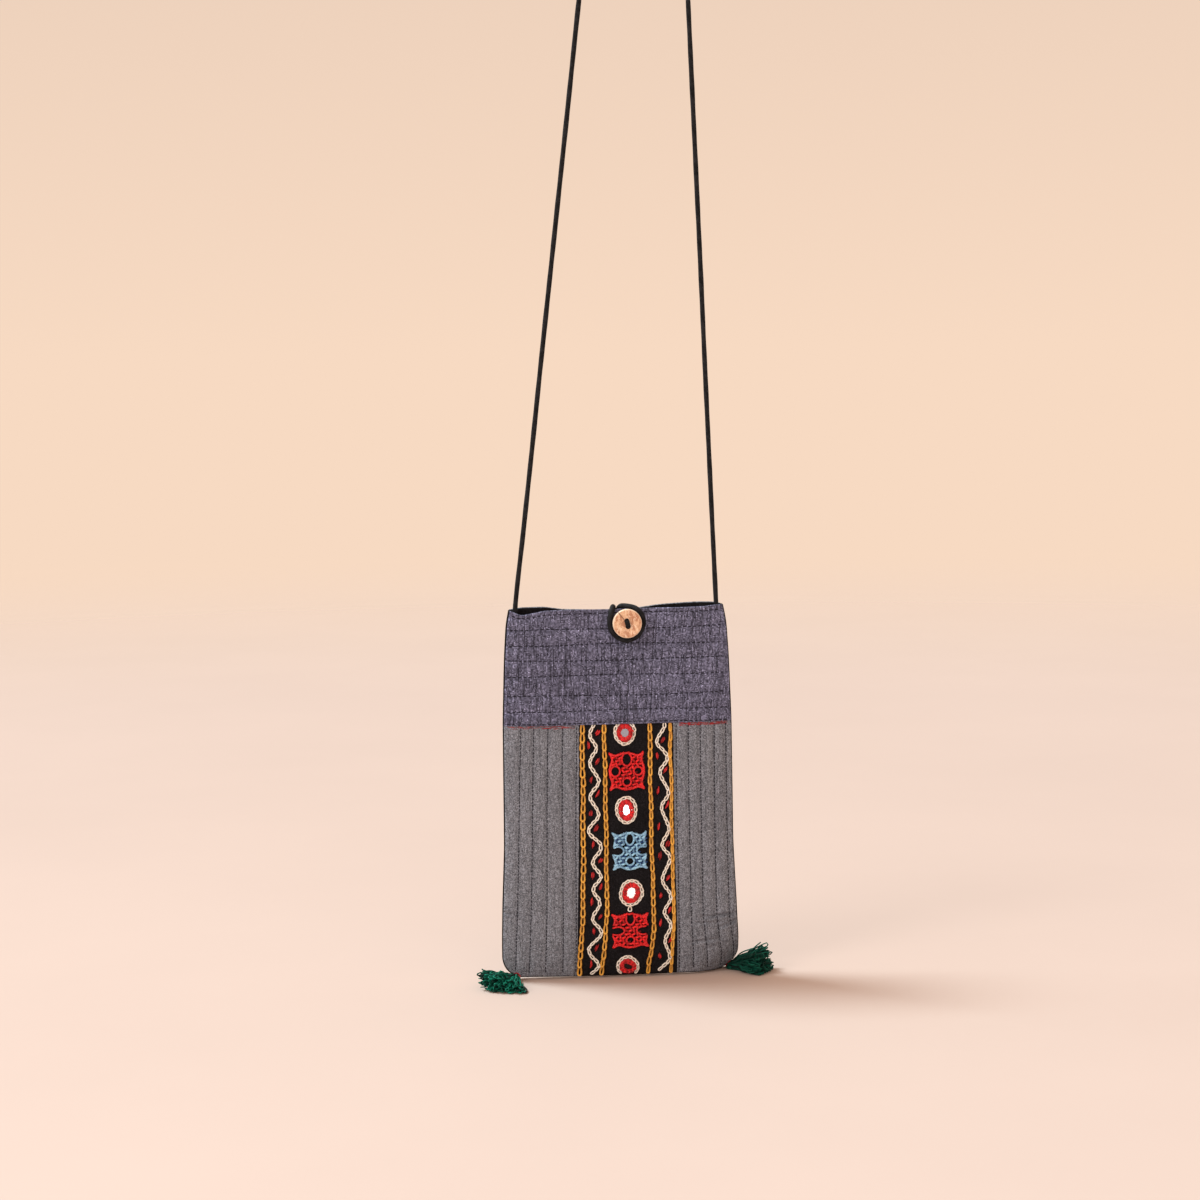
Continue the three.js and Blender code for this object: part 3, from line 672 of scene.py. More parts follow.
def spaced(length, step):
    """Places from 0 to a length, close together at both ends where the cloth's edge is round."""
    count = max(2, round((length - 2 * EDGE_ROUND) / step))
    ends = EDGE_STEPS * EDGE_ROUND
    even = np.linspace(EDGE_ROUND, length - EDGE_ROUND, count + 1)
    return np.concatenate([ends, even, length - ends[::-1]])


def lower_grid(first, last, step):
    """Places across and down between two upright edges of the lower front, and the edges' distances."""
    wide = abs(last[0] - first[0])
    tall = HEIGHT - YOKE_DROP + FLANGE
    share, drop = np.meshgrid(spaced(wide, step) / wide, spaced(tall, step) / tall)
    top = lerp(first[0], last[0], share)
    foot = lerp(first[1], last[1], share)
    z = lerp(-YOKE_DROP + FLANGE, bottom_at(foot / LOW_HALF), drop)
    x = lerp(top / TOP_HALF, foot / LOW_HALF, drop) * half_width(z)
    edges = np.minimum(np.minimum(share, 1 - share) * wide, np.minimum(drop, 1 - drop) * tall)
    return x, z, edges


class Threads:
    """Round threads, gathered as tubes into one mesh. Each point knows its turn, run and shade."""

    def __init__(self, sides=6):
        self.sides = sides
        self.points, self.faces, self.marks, self.shades = [], [], [], []
        self.count = 0

    def add(self, paths, radius, shade=0.5, closed=False):
        """Tubes along paths, an array of tubes, points and 3. Radius and shade may vary by tube or point."""
        paths = np.asarray(paths, float)
        tubes, steps = paths.shape[:2]
        radius = np.broadcast_to(np.asarray(radius, float), (tubes, steps))
        shade = np.broadcast_to(np.asarray(shade, float), (tubes, steps))
        if closed:
            way = unit(np.roll(paths, -1, axis=1) - np.roll(paths, 1, axis=1))
        else:
            way = unit(np.gradient(paths, axis=1))
        run = np.linalg.norm(np.diff(paths, axis=1, prepend=paths[:, :1]), axis=-1).cumsum(axis=1)
        round_it = circle(self.sides)
        cosine, sine = round_it.T[..., None]
        normal = np.cross(way[:, 0], np.array([0.31, 0.52, 0.79]))
        rings = []
        for k in range(steps):
            normal = unit(normal - (normal * way[:, k]).sum(-1, keepdims=True) * way[:, k])
            side = np.cross(way[:, k], normal)
            spoke = normal[:, None] * cosine + side[:, None] * sine
            rings.append(paths[:, k, None] + spoke * radius[:, k, None, None])
        rings = np.stack(rings, 1)
        index = np.arange(tubes * steps * self.sides).reshape(tubes, steps, self.sides) + self.count
        after = np.roll(index, -1, axis=1) if closed else index[:, 1:]
        before = index if closed else index[:, :-1]
        quads = [before, np.roll(before, -1, -1), np.roll(after, -1, -1), after]
        self.faces += np.stack(quads, -1).reshape(-1, 4).tolist()
        if not closed:
            self.faces += index[:, 0, ::-1].tolist() + index[:, -1].tolist()
        turns = np.broadcast_to(round_it, rings.shape[:3] + (2,))
        along = np.broadcast_to(run[:, :, None, None], rings.shape[:3] + (1,))
        self.points.append(rings.reshape(-1, 3))
        self.marks.append(np.concatenate([turns, along], -1).reshape(-1, 3))
        self.shades.append(np.repeat(shade.reshape(-1), self.sides))
        self.count += index.size

    def piece(self, name, look, slot, nodes=()):
        attributes = {"thread": np.concatenate(self.marks), "shade": np.concatenate(self.shades)}
        return new_piece(name, np.concatenate(self.points), self.faces, look, nodes, attributes)


# Materials


class Look:
    """A material's nodes, with short ways to add and join them."""

    def __init__(self, name, **shader):
        self.material = bpy.data.materials.new(name)
        self.material.use_nodes = True
        self.tree = self.material.node_tree
        self.shader = self.tree.nodes["Principled BSDF"]
        for key, value in shader.items():
            self.shader.inputs[key.replace("_", " ").title().replace("Ior", "IOR")].default_value = value

    def put(self, socket, value):
        if isinstance(value, bpy.types.NodeSocket):
            self.tree.links.new(value, socket)
        else:
            socket.default_value = value

    def add(self, kind, inputs=None, **settings):
        node = self.tree.nodes.new("ShaderNode" + kind)
        for key, value in settings.items():
            setattr(node, key, value)
        for key, value in (inputs or {}).items():
            self.put(node.inputs[key], value)
        return node

    def math(self, operation, a, b=0.0):
        return self.add("Math", {0: a, 1: b}, operation=operation).outputs[0]

    def times(self, a, b):
        return self.math("MULTIPLY", a, b)

    def plus(self, a, b):
        return self.math("ADD", a, b)

    def vector(self, operation, a, b=(0, 0, 0), output="Vector"):
        return self.add("VectorMath", {0: a, 1: b}, operation=operation).outputs[output]

    def scaled(self, vector, scale):
        return self.vector("MULTIPLY", vector, (scale,) * 3 if isinstance(scale, float) else scale)

    def fit(self, value, low, high, to_low=0.0, to_high=1.0, **settings):
        places = {"Value": value, "From Min": low, "From Max": high, "To Min": to_low, "To Max": to_high}
        return self.add("MapRange", places, **settings).outputs[0]

    def mix(self, share, a, b, blend="MIX"):
        return self.add("Mix", {0: share, 6: a, 7: b}, data_type="RGBA", blend_type=blend).outputs[2]

    def shaded(self, colour, *values):
        """A colour made lighter or darker by numbers."""
        for value in values:
            colour = self.mix(1.0, colour, value, "MULTIPLY")
        return colour

    def noise(self, vector, scale, detail=2.0, roughness=0.5, output="Fac"):
        inputs = {"Vector": vector, "Scale": scale, "Detail": detail, "Roughness": roughness}
        return self.add("TexNoise", inputs).outputs[output]

    def joined(self, *places):
        return self.add("CombineXYZ", dict(enumerate(places))).outputs[0]

    def parts(self, vector):
        return self.add("SeparateXYZ", {0: vector}).outputs[:3]

    def random(self, *places):
        vector = self.joined(*places)
        return self.add("TexWhiteNoise", {"Vector": vector}, noise_dimensions="3D").outputs["Value"]

    def millimetres(self):
        """Place on the piece, in millimetres."""
        return self.scaled(self.add("TexCoord").outputs["Object"], 1 / MM)

    def attribute(self, name, output):
        return self.add("Attribute", attribute_name=name).outputs[output]

    def winding(self, starts, slope):
        """A wave with a number of starts that winds round a thread, by radians a millimetre."""
        cosine, sine, run = self.parts(self.attribute("thread", "Vector"))
        round_it = self.times(self.math("ARCTAN2", sine, cosine), starts)
        return self.math("SINE", self.plus(round_it, self.times(run, slope)))

    def finish(self, colour, height, bump, strength=0.6, roughness=None):
        self.put(self.shader.inputs["Base Color"], colour)
        inputs = {"Height": height, "Strength": strength, "Distance": bump * MM}
        self.put(self.shader.inputs["Normal"], self.add("Bump", inputs).outputs[0])
        if roughness is not None:
            self.put(self.shader.inputs["Roughness"], roughness)
        return self.material


def cloth_look(name, warp, weft, pitch, streak, speckle, fleck, bump, **shader):
    """Plain weave of uneven threads, each shaded along its run; slubs, flecks, and painted shade in its dips.
    """
    look = Look(name, **shader)
    place = look.millimetres()
    wander = look.scaled(look.noise(place, 0.25, 1.0, output="Color"), 0.8)
    place = look.vector("ADD", place, wander)
    x, _, z = look.parts(place)
    across, up = (look.math("DIVIDE", part, pitch) for part in (x, z))
    column, row = (look.math("FLOOR", part) for part in (across, up))
    shares = [look.math("FRACT", part) for part in (across, up)]
    hump_x, hump_z = (look.math("SINE", look.times(share, math.pi)) for share in shares)
    over = look.math("FLOORED_MODULO", look.plus(column, row), 2.0)
    warp_hump = look.times(hump_x, look.fit(hump_z, 0, 1, 0.5, 1))
    weft_hump = look.times(hump_z, look.fit(hump_x, 0, 1, 0.5, 1))
    height = look.add("Mix", {0: over, 2: weft_hump, 3: warp_hump}).outputs[0]
    cross = look.random(column, row, 1.7)
    pick = look.random(column, row, 8.3)
    apart = 3.713
    ends = look.noise(look.joined(look.times(column, apart), 0.0, look.times(z, 0.16)), 1.0, 2.0, 0.7)
    picks = look.noise(look.joined(look.times(x, 0.3), 0.0, look.times(row, apart)), 1.0, 2.0, 0.7)
    slubs = look.noise(look.scaled(place, (1.3, 0.1, 0.04)), 1.0, 2.0, 0.6)
    clouds = look.noise(place, 0.04, 3.0)
    colour = look.shaded(
        look.mix(cross, (*weft, 1), (*warp, 1)),
        look.fit(ends, 0.35, 0.65, 1 - streak, 1 + streak),
        look.fit(picks, 0.35, 0.65, 1 - 0.4 * streak, 1 + 0.4 * streak),
        look.fit(cross, 0, 1, 1 - speckle, 1 + speckle),
        look.fit(pick, 0.93, 0.97, 1, 1 + fleck),
        look.fit(pick, 0.05, 0.09, 0.45, 1),
        look.fit(slubs, 0.58, 0.66, 1, 1 - 0.9 * streak),
        look.fit(clouds, 0.3, 0.7, 0.93, 1.07),
        # Painted shade: the low places of the weave darker, the crowns of the threads lighter.
        look.fit(height, 0, 1, 0.8, 1.1),
    )
    return look.finish(colour, height, bump)


def thread_look(name, dark, light, roughness, gloss, plies=2, twist=1.6):
    """Twisted thread: its plies wind round it, painted darker between them, and each stitch has its own
    shade.
    """
    look = Look(name, roughness=roughness, specular_ior_level=gloss)
    ply = look.winding(float(plies), TURN * plies / twist)
    fuzz = look.noise(look.millimetres(), 2.2, 3.0, 0.7)
    colour = look.mix(look.attribute("shade", "Fac"), (*dark, 1), (*light, 1))
    # Painted shade and highlight: darker between the plies, lighter on their crowns.
    colour = look.shaded(colour, look.fit(ply, -1, 1, 0.72, 1.08), look.fit(fuzz, 0.25, 0.75, 0.82, 1.15))
    return look.finish(colour, look.plus(ply, look.times(fuzz, 0.8)), 0.12)


def cord_look(name):
    """Black cloth tube: fine slanting ribs with painted highlights, a slowly winding seam, lumps lighter on
    top.
    """
    look = Look(name, roughness=0.8, specular_ior_level=0.2)
    rib = look.winding(7.0, 7.5)
    seam = look.fit(look.winding(1.0, 0.35), 0.86, 0.97)
    lumps = look.noise(look.millimetres(), 0.5, 3.0, 0.6)
    colour = look.mix(look.fit(lumps, 0.35, 0.7), (0.004, 0.004, 0.005, 1), (0.018, 0.018, 0.021, 1))
    # Painted highlight and shade: the ribs lighter on their crowns and darker between them.
    colour = look.shaded(colour, look.fit(rib, -1, 1, 0.75, 1.2), look.fit(seam, 0, 1, 1, 0.4))
    height = look.plus(look.times(rib, 0.3), look.times(lumps, 1.6))
    return look.finish(colour, look.math("SUBTRACT", height, seam), 0.2)


def shell_look(name):
    """Coconut shell: tan with brown figure, a paler worn rim and one long scratch."""
    look = Look(name, coat_weight=0.15, coat_roughness=0.3)
    middle = POUCH_PLACE + np.array([BUTTON_ACROSS, 0, -BUTTON_DROP])
    local = look.vector("SUBTRACT", look.millimetres(), tuple(middle))
    x, _, z = look.parts(local)
    figure = look.noise(look.scaled(local, (0.34, 0.5, 0.24)), 1.0, 5.0, 0.65)
    fine = look.noise(look.scaled(local, (0.9, 1.0, 0.6)), 1.0, 4.0, 0.7)
    colour = look.mix(look.fit(figure, 0.46, 0.56), (0.72, 0.44, 0.26, 1), (0.47, 0.2, 0.095, 1))
    colour = look.mix(look.fit(fine, 0.55, 0.61, 0, 0.8), colour, (0.82, 0.62, 0.44, 1))
    colour = look.mix(look.fit(fine, 0.44, 0.38, 0, 0.65), colour, (0.32, 0.12, 0.055, 1))
    radius = look.vector("LENGTH", look.joined(x, 0.0, z), output="Value")
    worn = look.fit(radius, BUTTON_RADIUS - 0.75, BUTTON_RADIUS - 0.2, 0, 0.85)
    colour = look.mix(worn, colour, (0.8, 0.6, 0.44, 1))
    off = look.math("ABSOLUTE", look.vector("DOT_PRODUCT", local, (0.78, 0, 0.62), "Value"))
    scratch = look.times(look.fit(off, 0.16, 0.36, 1, 0), look.fit(z, 1.6, 2.4))
    colour = look.mix(look.times(scratch, 0.9), colour, (0.2, 0.09, 0.04, 1))
    height = look.math("SUBTRACT", look.times(fine, 0.5), scratch)
    return look.finish(colour, height, 0.15, 0.5, look.fit(fine, 0.3, 0.7, 0.5, 0.36))


def mirror_look(name, silver_and_painted_reflection):
    """Small glass mirror, with a silvering a little worn in spots; some get a darker colour, a painted
    reflection.
    """
    look = Look(name, metallic=1.0, ior=1.5)
    spots = look.noise(look.millimetres(), 0.9, 4.0, 0.6)
    worn = tuple(0.82 * part for part in silver_and_painted_reflection)
    colour = look.mix(look.fit(spots, 0.5, 0.75), (*silver_and_painted_reflection, 1), (*worn, 1))
    return look.finish(colour, spots, 0.02, 0.15, look.fit(spots, 0.3, 0.7, 0.05, 0.14))


def bead_look(name):
    """Red glass with darker swirls under a clear coat."""
    look = Look(name, coat_weight=0.6, coat_roughness=0.08)
    swirl = look.noise(look.scaled(look.millimetres(), (0.6, 0.6, 1.4)), 1.0, 3.0, 0.6)
    colour = look.mix(look.fit(swirl, 0.35, 0.65), (0.5, 0.008, 0.012, 1), (0.2, 0.004, 0.012, 1))
    return look.finish(colour, swirl, 0.05, 0.3, look.fit(swirl, 0.3, 0.7, 0.2, 0.38))


YOKE_LOOK = cloth_look(
    "yoke_weave", (0.155, 0.158, 0.243), (0.09, 0.089, 0.142), pitch=0.55, streak=0.52, speckle=0.34,
    fleck=0.75, bump=0.2, roughness=0.9, specular_ior_level=0.2,
)
GREY_LOOK = cloth_look(
    "grey_weave", (0.2, 0.213, 0.251), (0.137, 0.146, 0.176), pitch=0.45, streak=0.24, speckle=0.28,
    fleck=0.35, bump=0.12, roughness=0.7, specular_ior_level=0.3, sheen_weight=0.08, sheen_roughness=0.35,
)
BLACK_LOOK = cloth_look(
    "black_weave", (0.009, 0.008, 0.01), (0.005, 0.004, 0.005), pitch=0.5, streak=0.25, speckle=0.35,
    fleck=0.6, bump=0.14, roughness=0.9, specular_ior_level=0.15,
)
CORD_LOOK = cord_look("cloth_cord")
# Threads: darkest and lightest colour, roughness and gloss
THREAD_COLOURS = {
    "black": ((0.004, 0.004, 0.005), (0.012, 0.012, 0.014), 0.7, 0.2),
    "quilting": ((0.01, 0.009, 0.016), (0.024, 0.023, 0.036), 0.75, 0.2),
    "gold": ((0.3, 0.085, 0.006), (1.0, 0.52, 0.07), 0.42, 0.5),
    "cream": ((0.88, 0.71, 0.56), (1.0, 0.97, 0.89), 0.45, 0.5),
    "red": ((0.13, 0.002, 0.004), (0.95, 0.022, 0.026), 0.36, 0.35),
    "blue": ((0.008, 0.055, 0.2), (0.4, 0.74, 1.0), 0.42, 0.5),
    "green": ((0.0004, 0.013, 0.01), (0.003, 0.24, 0.155), 0.7, 0.2),
}
THREAD_LOOKS = {key: thread_look(f"{key}_thread", *values) for key, values in THREAD_COLOURS.items()}


# Camera and sling


def make_camera():
    data = bpy.data.cameras.new("camera")
    data.lens, data.sensor_width = LENS, SENSOR
    data.clip_start, data.clip_end = CLIP_START, CLIP_END
    camera = bpy.data.objects.new("camera", data)
    turn = Matrix.Rotation(math.radians(CAMERA_YAW), 4, "Z")
    turn = turn @ Matrix.Rotation(math.radians(CAMERA_PITCH), 4, "X")
    turn = turn @ Matrix.Rotation(math.radians(CAMERA_ROLL), 4, "Z")
    camera.matrix_world = Matrix.Translation(CAMERA_PLACE) @ turn
    bpy.context.scene.collection.objects.link(camera)
    bpy.context.scene.camera = camera


def cord_piece(name, path, radius, lumps, node):
    """A cord along a path, with waves in its thickness."""
    run = np.linspace(0, 1, len(path))
    uneven = 1 + sum(height * np.sin(run * radians + start) for height, radians, start in lumps)
    threads = Threads(CORD_SIDES)
    threads.add([path], radius * uneven)
    return threads.piece(name, CORD_LOOK, "black_cord", [node])


def make_sling():
    route = [(x, 0.0, z) for x, z in SLING_ROUTE] - POUCH_PLACE
    path = smooth_curve(route, SLING_STEPS)
    sling = cord_piece("sling", path, SLING_RADIUS, SLING_LUMPS, "sling_cord")
    line = (path + POUCH_PLACE) * MM
    length_of(line)


# Cloth


def make_yoke():
    side = spaced(2 * TOP_HALF, YOKE_STEP) / TOP_HALF - 1
    across, at = np.meshgrid(side, spaced(YOKE_END, YOKE_STEP))
    z = yoke_z(across, at)
    x = across * half_width(z)
    edge = np.minimum(np.minimum(at, YOKE_END - at), (1 - np.abs(across)) * TOP_HALF)
    lifted = FLANGE_LIFT * smoothstep(at, YOKE_END - FLANGE - FLANGE_EASE, YOKE_END - FLANGE)
    depths = yoke_outer(across, at), cloth_depth(across, z) + lifted
    yoke = cloth_piece("yoke", x, z, *depths, edge, YOKE_LOOK, "yoke_cloth", "front_yoke")


def make_panel(name, seam, fold, rows):
    x, z, edge = lower_grid(seam, fold, PANEL_STEP)
    outer = panel_outer(x, z, rows)
    depth = cloth_depth(x / half_width(z), z)
    to_fold = np.abs(x - lerp(*fold, lower_share(z)))
    lifted = depth + FLANGE_LIFT * (1 - smoothstep(to_fold, FLANGE, FLANGE + FLANGE_EASE))
    inner = np.minimum(lifted, np.maximum(outer - FLANGE_ROOM, depth))
    panel = cloth_piece(name, x, z, outer, inner, edge, GREY_LOOK, "grey_cloth", f"front_{name}")


def make_band():
    left = [edge - FLANGE for edge in BAND_LEFT]
    right = [edge + FLANGE for edge in BAND_RIGHT]
    x, z, edge = lower_grid(left, right, BAND_STEP)
    depths = band_outer(x, z), cloth_depth(x / half_width(z), z)
    band = cloth_piece("band", x, z, *depths, edge, BLACK_LOOK, "band_cloth", "embroidered_band")


def make_back():
    side = spaced(2 * LOW_HALF, BACK_STEP) / LOW_HALF - 1
    across, drop = np.meshgrid(side, spaced(HEIGHT, BACK_STEP) / HEIGHT)
    z = lerp(rim(across, True), bottom_at(across), drop)
    x = across * half_width(z)
    edge = np.minimum(np.minimum(drop, 1 - drop) * HEIGHT, (1 - np.abs(across)) * LOW_HALF)
    depths = back_outer(x, z), cloth_depth(across, z)
    back = cloth_piece("back", x, z, *depths, edge, GREY_LOOK, "grey_cloth", "back_panel", way=1)


def make_lining():
    """An open inner pouch, made of rings from the mouth to the bottom seam."""
    across = np.sin(np.linspace(-1, 1, LINING_COLUMNS) * np.pi / 2)
    lip_drops = LIP_ROUND * np.array([0, 1 / 6, 1 / 2])
    drops = np.concatenate([lip_drops, np.linspace(LIP_ROUND, 1, LINING_ROWS)])
    ring = np.concatenate([across, across[::-1]])
    front = np.arange(len(ring)) < len(across)
    lip = np.where(front, rim(ring, False), rim(ring, True)) - LINING_DROP
    place, drop = np.meshgrid(ring, drops)
    share = np.sqrt(np.clip(drop / LIP_ROUND, 0, 1))
    shells = []
    for inset, face in ((-LINING_PEEK, 1.0), (SIDE_WALL, 0.0)):
        z = lerp(lip, bottom_at(ring, inset), drop)
        deep = half_room(place, z) + LINING * taper(place, z) * lerp(0.5, face, share)
        shells.append(placed(place * (half_width(z) - inset), np.where(front, -deep, deep), z))
    rows, columns = place.shape
    index = np.arange(2 * rows * columns).reshape(2, rows, columns)
    faces = []
    for shell, way in zip(index, (1, -1)):
        after = np.roll(shell, -1, axis=1)
        quads = np.stack([shell[:-1], shell[1:], after[1:], after[:-1]], -1).reshape(-1, 4)
        half, far = shell[-1][: columns // 2], shell[-1][::-1][: columns // 2]
        seam = np.stack([half[:-1], far[:-1], far[1:], half[1:]], -1)
        faces += [quads[:, ::way], seam[:, ::way]]
    outer, inner = index[:, 0]
    faces.append(np.stack([outer, np.roll(outer, -1), np.roll(inner, -1), inner], -1))
    points = np.concatenate([shell.reshape(-1, 3) for shell in shells])
    faces = facing_out(points, np.concatenate(faces).tolist())
    lining = new_piece("inner_lining", points, faces, BLACK_LOOK, ["lining"])


# Quilting stitches


def running_stitches(threads, line, on_face, stitch):
    """Short stitches along a line of (x, place) points, each a little sunk at its ends."""
    pitch, length, thick = stitch
    count = int(length_of(line) / pitch)
    middles = (np.arange(count) + 0.5) * pitch + RANDOM.uniform(-STITCH_JITTER, STITCH_JITTER, count)
    half = length * RANDOM.uniform(*STITCH_HALVES, count)
    share, lift, thin = STITCH_SHAPE.T
    places = middles[:, None] + half[:, None] * share
    x, place = (np.interp(places, run_along(line), column) for column in line.T)
    paths = on_face(x, place, np.broadcast_to(lift, places.shape))
    threads.add(paths, thick * thin, RANDOM.uniform(0, 1, (count, 1)))


def stitch_yoke():
    """Level rows, dark slubs down the cloth, and dark threads in its deep creases as painted shade."""
    threads = Threads(QUILT_SIDES)

    def on_face(x, at, lift):
        across = x / half_width(-at)
        return front_point(x, yoke_z(across, at), yoke_outer(across, at) + lift)

    for row in YOKE_ROWS:
        x = np.linspace(-1, 1, 120) * (half_width(-row) - 0.8)
        running_stitches(threads, np.column_stack([x, yoke_row(x, row)]), on_face, YOKE_STITCH)
    share = np.linspace(0, 1, 24)
    start = np.column_stack([RANDOM.uniform(*field, SLUBS_AND_PAINTED_CREASES) for field in SLUB_FIELD])
    length = RANDOM.uniform(*SLUB_LENGTHS, (SLUBS_AND_PAINTED_CREASES, 1))
    # The first dark threads follow the deep creases: painted shade in them.
    for k, (x, z, _, half, *_) in enumerate(YOKE_CREASES):
        start[k], length[k] = (x, -z - half), 2 * half
    at = np.minimum(start[:, 1:] + length * share, YOKE_END - 0.6)
    x = start[:, :1] + 0.2 * np.sin(at / 4 + start[:, :1]) - 0.03 * (at - start[:, 1:])
    swell = np.sqrt(np.maximum(1 - (2 * share - 1) ** 2, 0.02))
    radius = SLUB_AND_PAINTED_CREASE_RADIUS * swell * RANDOM.uniform(0.6, 1.3, (SLUBS_AND_PAINTED_CREASES, 1))
    threads.add(on_face(x, at, 0.0), radius, RANDOM.uniform(0.2, 1, (SLUBS_AND_PAINTED_CREASES, 1)))
    threads.piece("yoke_stitches", THREAD_LOOKS["quilting"], "grey_thread")


def stitch_panel(name, rows):
    threads = Threads(QUILT_SIDES)

    def on_face(x, z, lift):
        return front_point(x, z, panel_outer(x, z, rows) + lift)

    for row in rows:
        z = np.linspace(-YOKE_DROP - ROW_TOP, bottom_at(row[1] / LOW_HALF) + ROW_FOOT, 120)
        running_stitches(threads, np.column_stack([upright_row(row, z), z]), on_face, PANEL_STITCH)
    threads.piece(f"{name}_stitches", THREAD_LOOKS["quilting"], "grey_thread")


def stitch_back():
    threads = Threads(QUILT_SIDES)

    def on_face(x, z, lift):
        return placed(x, back_outer(x, z) + lift, z)

    for row in BACK_ROWS:
        z = np.linspace(-BACK_ROW_TOP, bottom_at(row / LOW_HALF) + ROW_FOOT, 150)
        keep = np.abs(row) < half_width(z) - 1
        running_stitches(threads, np.column_stack([back_row(row, z), z])[keep], on_face, PANEL_STITCH)
    x = np.linspace(-LIP_ROW_HALF, LIP_ROW_HALF, 120)
    lip = np.column_stack([x, rim(x / half_width(-BACK_LIP_ROW), True) - BACK_LIP_ROW])
    running_stitches(threads, lip, on_face, PANEL_STITCH)
    threads.piece("back_stitches", THREAD_LOOKS["quilting"], "grey_thread")


# Embroidery on the band


def on_band(x, z, lift):
    """A point over the band; what runs in under the yoke lies flat."""
    return front_point(x, z, band_outer(x, z) + lift * smoothstep(-z - YOKE_DROP, *STITCH_RISE))


def in_view(z):
    return (z > IN_VIEW[0]) & (z < IN_VIEW[1])


def chain(threads, line, link, wide, radius):
    """Chain stitches along a line of (x, z) points: drop-shaped loops, each starting in the last one."""
    knots = evenly(line, round(length_of(line) / link) + 1)
    start, way = knots[:-1], np.diff(knots, axis=0)
    seen = in_view(start[:, 1]) & in_view(knots[1:, 1])
    start, way = start[seen], way[seen]
    size = np.linalg.norm(way, axis=1)
    way = unit(way)
    cross = np.column_stack([-way[:, 1], way[:, 0]])
    cosine, sine = circle(CHAIN_STEPS).T
    along = np.outer(size * RANDOM.uniform(1.04, 1.14, len(size)), 0.5 - 0.5 * cosine)
    half = (wide / 2 - radius) * RANDOM.uniform(0.85, 1.15, len(size))
    out = np.outer(half, np.sign(sine) * np.abs(sine) ** 0.7 * (0.85 - 0.25 * cosine))
    flat = start[:, None] + way[:, None] * along[..., None] + cross[:, None] * out[..., None]
    flat = flat + RANDOM.normal(0, CHAIN_JITTER, (len(size), 1, 2))
    rise = radius * (0.35 + 0.95 * (0.5 - 0.5 * cosine))
    paths = on_band(flat[..., 0], flat[..., 1], np.broadcast_to(rise, along.shape))
    # Painted shade: each link darker where it starts, tucked under the last one, and lighter at its far end.
    shade = np.outer(RANDOM.uniform(0.75, 1, len(size)), 0.68 - 0.32 * cosine)
    threads.add(paths, radius, shade, closed=True)


def stitches(threads, start, end, radius, lift, shade, base=0.0):
    """Single raised stitches from start to end points, whose ends go down into the cloth."""
    share = np.linspace(0, 1, len(DASH_TAPER))
    flat = lerp(start[:, None], end[:, None], share[:, None])
    arch = 1 - (2 * share - 1) ** 4
    rise = base + np.multiply.outer(np.broadcast_to(lift, len(start)), arch) - STITCH_SINK * (1 - arch)
    threads.add(on_band(flat[..., 0], flat[..., 1], rise), radius, np.reshape(shade, (-1, 1)))


def embroider_lines():
    threads = Threads()
    z = np.linspace(-YOKE_DROP + 0.8, -HEIGHT - 0.2, 160)
    for *columns, wide in GOLD_LINES:
        curve = smooth_curve(np.column_stack([columns, GOLD_DROPS]), 200)
        x = np.interp(-z, curve[:, 1], curve[:, 0]) + GOLD_WAVE * np.sin(z / 5 + columns[0])
        chain(threads, np.column_stack([x, z]), GOLD_LINK, wide, GOLD_THREAD)
    threads.piece("gold_lines", THREAD_LOOKS["gold"], "gold_thread")


def dash(threads, x, z, side, away):
    """Three stitches side by side, across from a turn of a zigzag."""
    tilt = math.radians(DASH_TILT - DASH_LEAN * side + RANDOM.uniform(-DASH_SWING, DASH_SWING))
    way = np.array([math.sin(tilt), math.cos(tilt)]) * DASH_LENGTH / 2 * RANDOM.uniform(0.85, 1.1)
    middle = np.array([x - side * away, z + 1.0])
    step = np.array([math.cos(tilt), -math.sin(tilt)]) * DASH_THREAD
    middles = middle + np.outer([-1, 0, 1], step) + RANDOM.normal(0, 0.12, (3, 2))
    ends = way * np.array([[0.6], [1.0], [0.65]]) * RANDOM.uniform(0.85, 1.1, (3, 1))
    if in_view(middle[1] - 1.5) and in_view(middle[1] + 1.5):
        shade = RANDOM.uniform(0.1, 0.7, 3)
        stitches(threads, middles - ends, middles + ends, DASH_THREAD * DASH_TAPER, DASH_RISE, shade)


def embroider_zigzags():
    cream, red = Threads(), Threads()
    for column, chart in ZIGZAGS.items():
        turns = np.array(chart) * np.array([1, -1])
        chain(cream, smooth_curve(turns, 400), CREAM_LINK, CREAM_WIDE, CREAM_THREAD)
        for before, (x, z) in zip(turns, turns[1:-1]):
            side = 1 if x > before[0] else -1
            dash(red, x, z, side, DASH_AWAY[column][0 if side > 0 else 1])
    cream.piece("cream_zigzags", THREAD_LOOKS["cream"], "cream_thread")
    red.piece("red_dashes", THREAD_LOOKS["red"], "red_thread")


def square_outline(half):
    """Outline of an interlaced square: arcs between four flared corners."""
    points = np.array(SQUARE_OCTANT + [(z, x) for x, z in SQUARE_OCTANT[-2:0:-1]])
    turned = []
    for _ in range(4):
        turned.append(points)
        points = np.column_stack([points[:, 1], -points[:, 0]])
    return smooth_curve(np.concatenate(turned) * half, 260, closed=True)


def inside(points, outline):
    """Whether points lie inside a closed outline."""
    a, b = outline, np.roll(outline, -1, axis=0)
    x, z = points[:, None, 0], points[:, None, 1]
    crosses = (a[:, 1] > z) != (b[:, 1] > z)
    rise = np.where(a[:, 1] == b[:, 1], TINY, b[:, 1] - a[:, 1])
    at = a[:, 0] + (z - a[:, 1]) / rise * (b[:, 0] - a[:, 0])
    return (crosses & (x < at)).sum(1) % 2 == 1


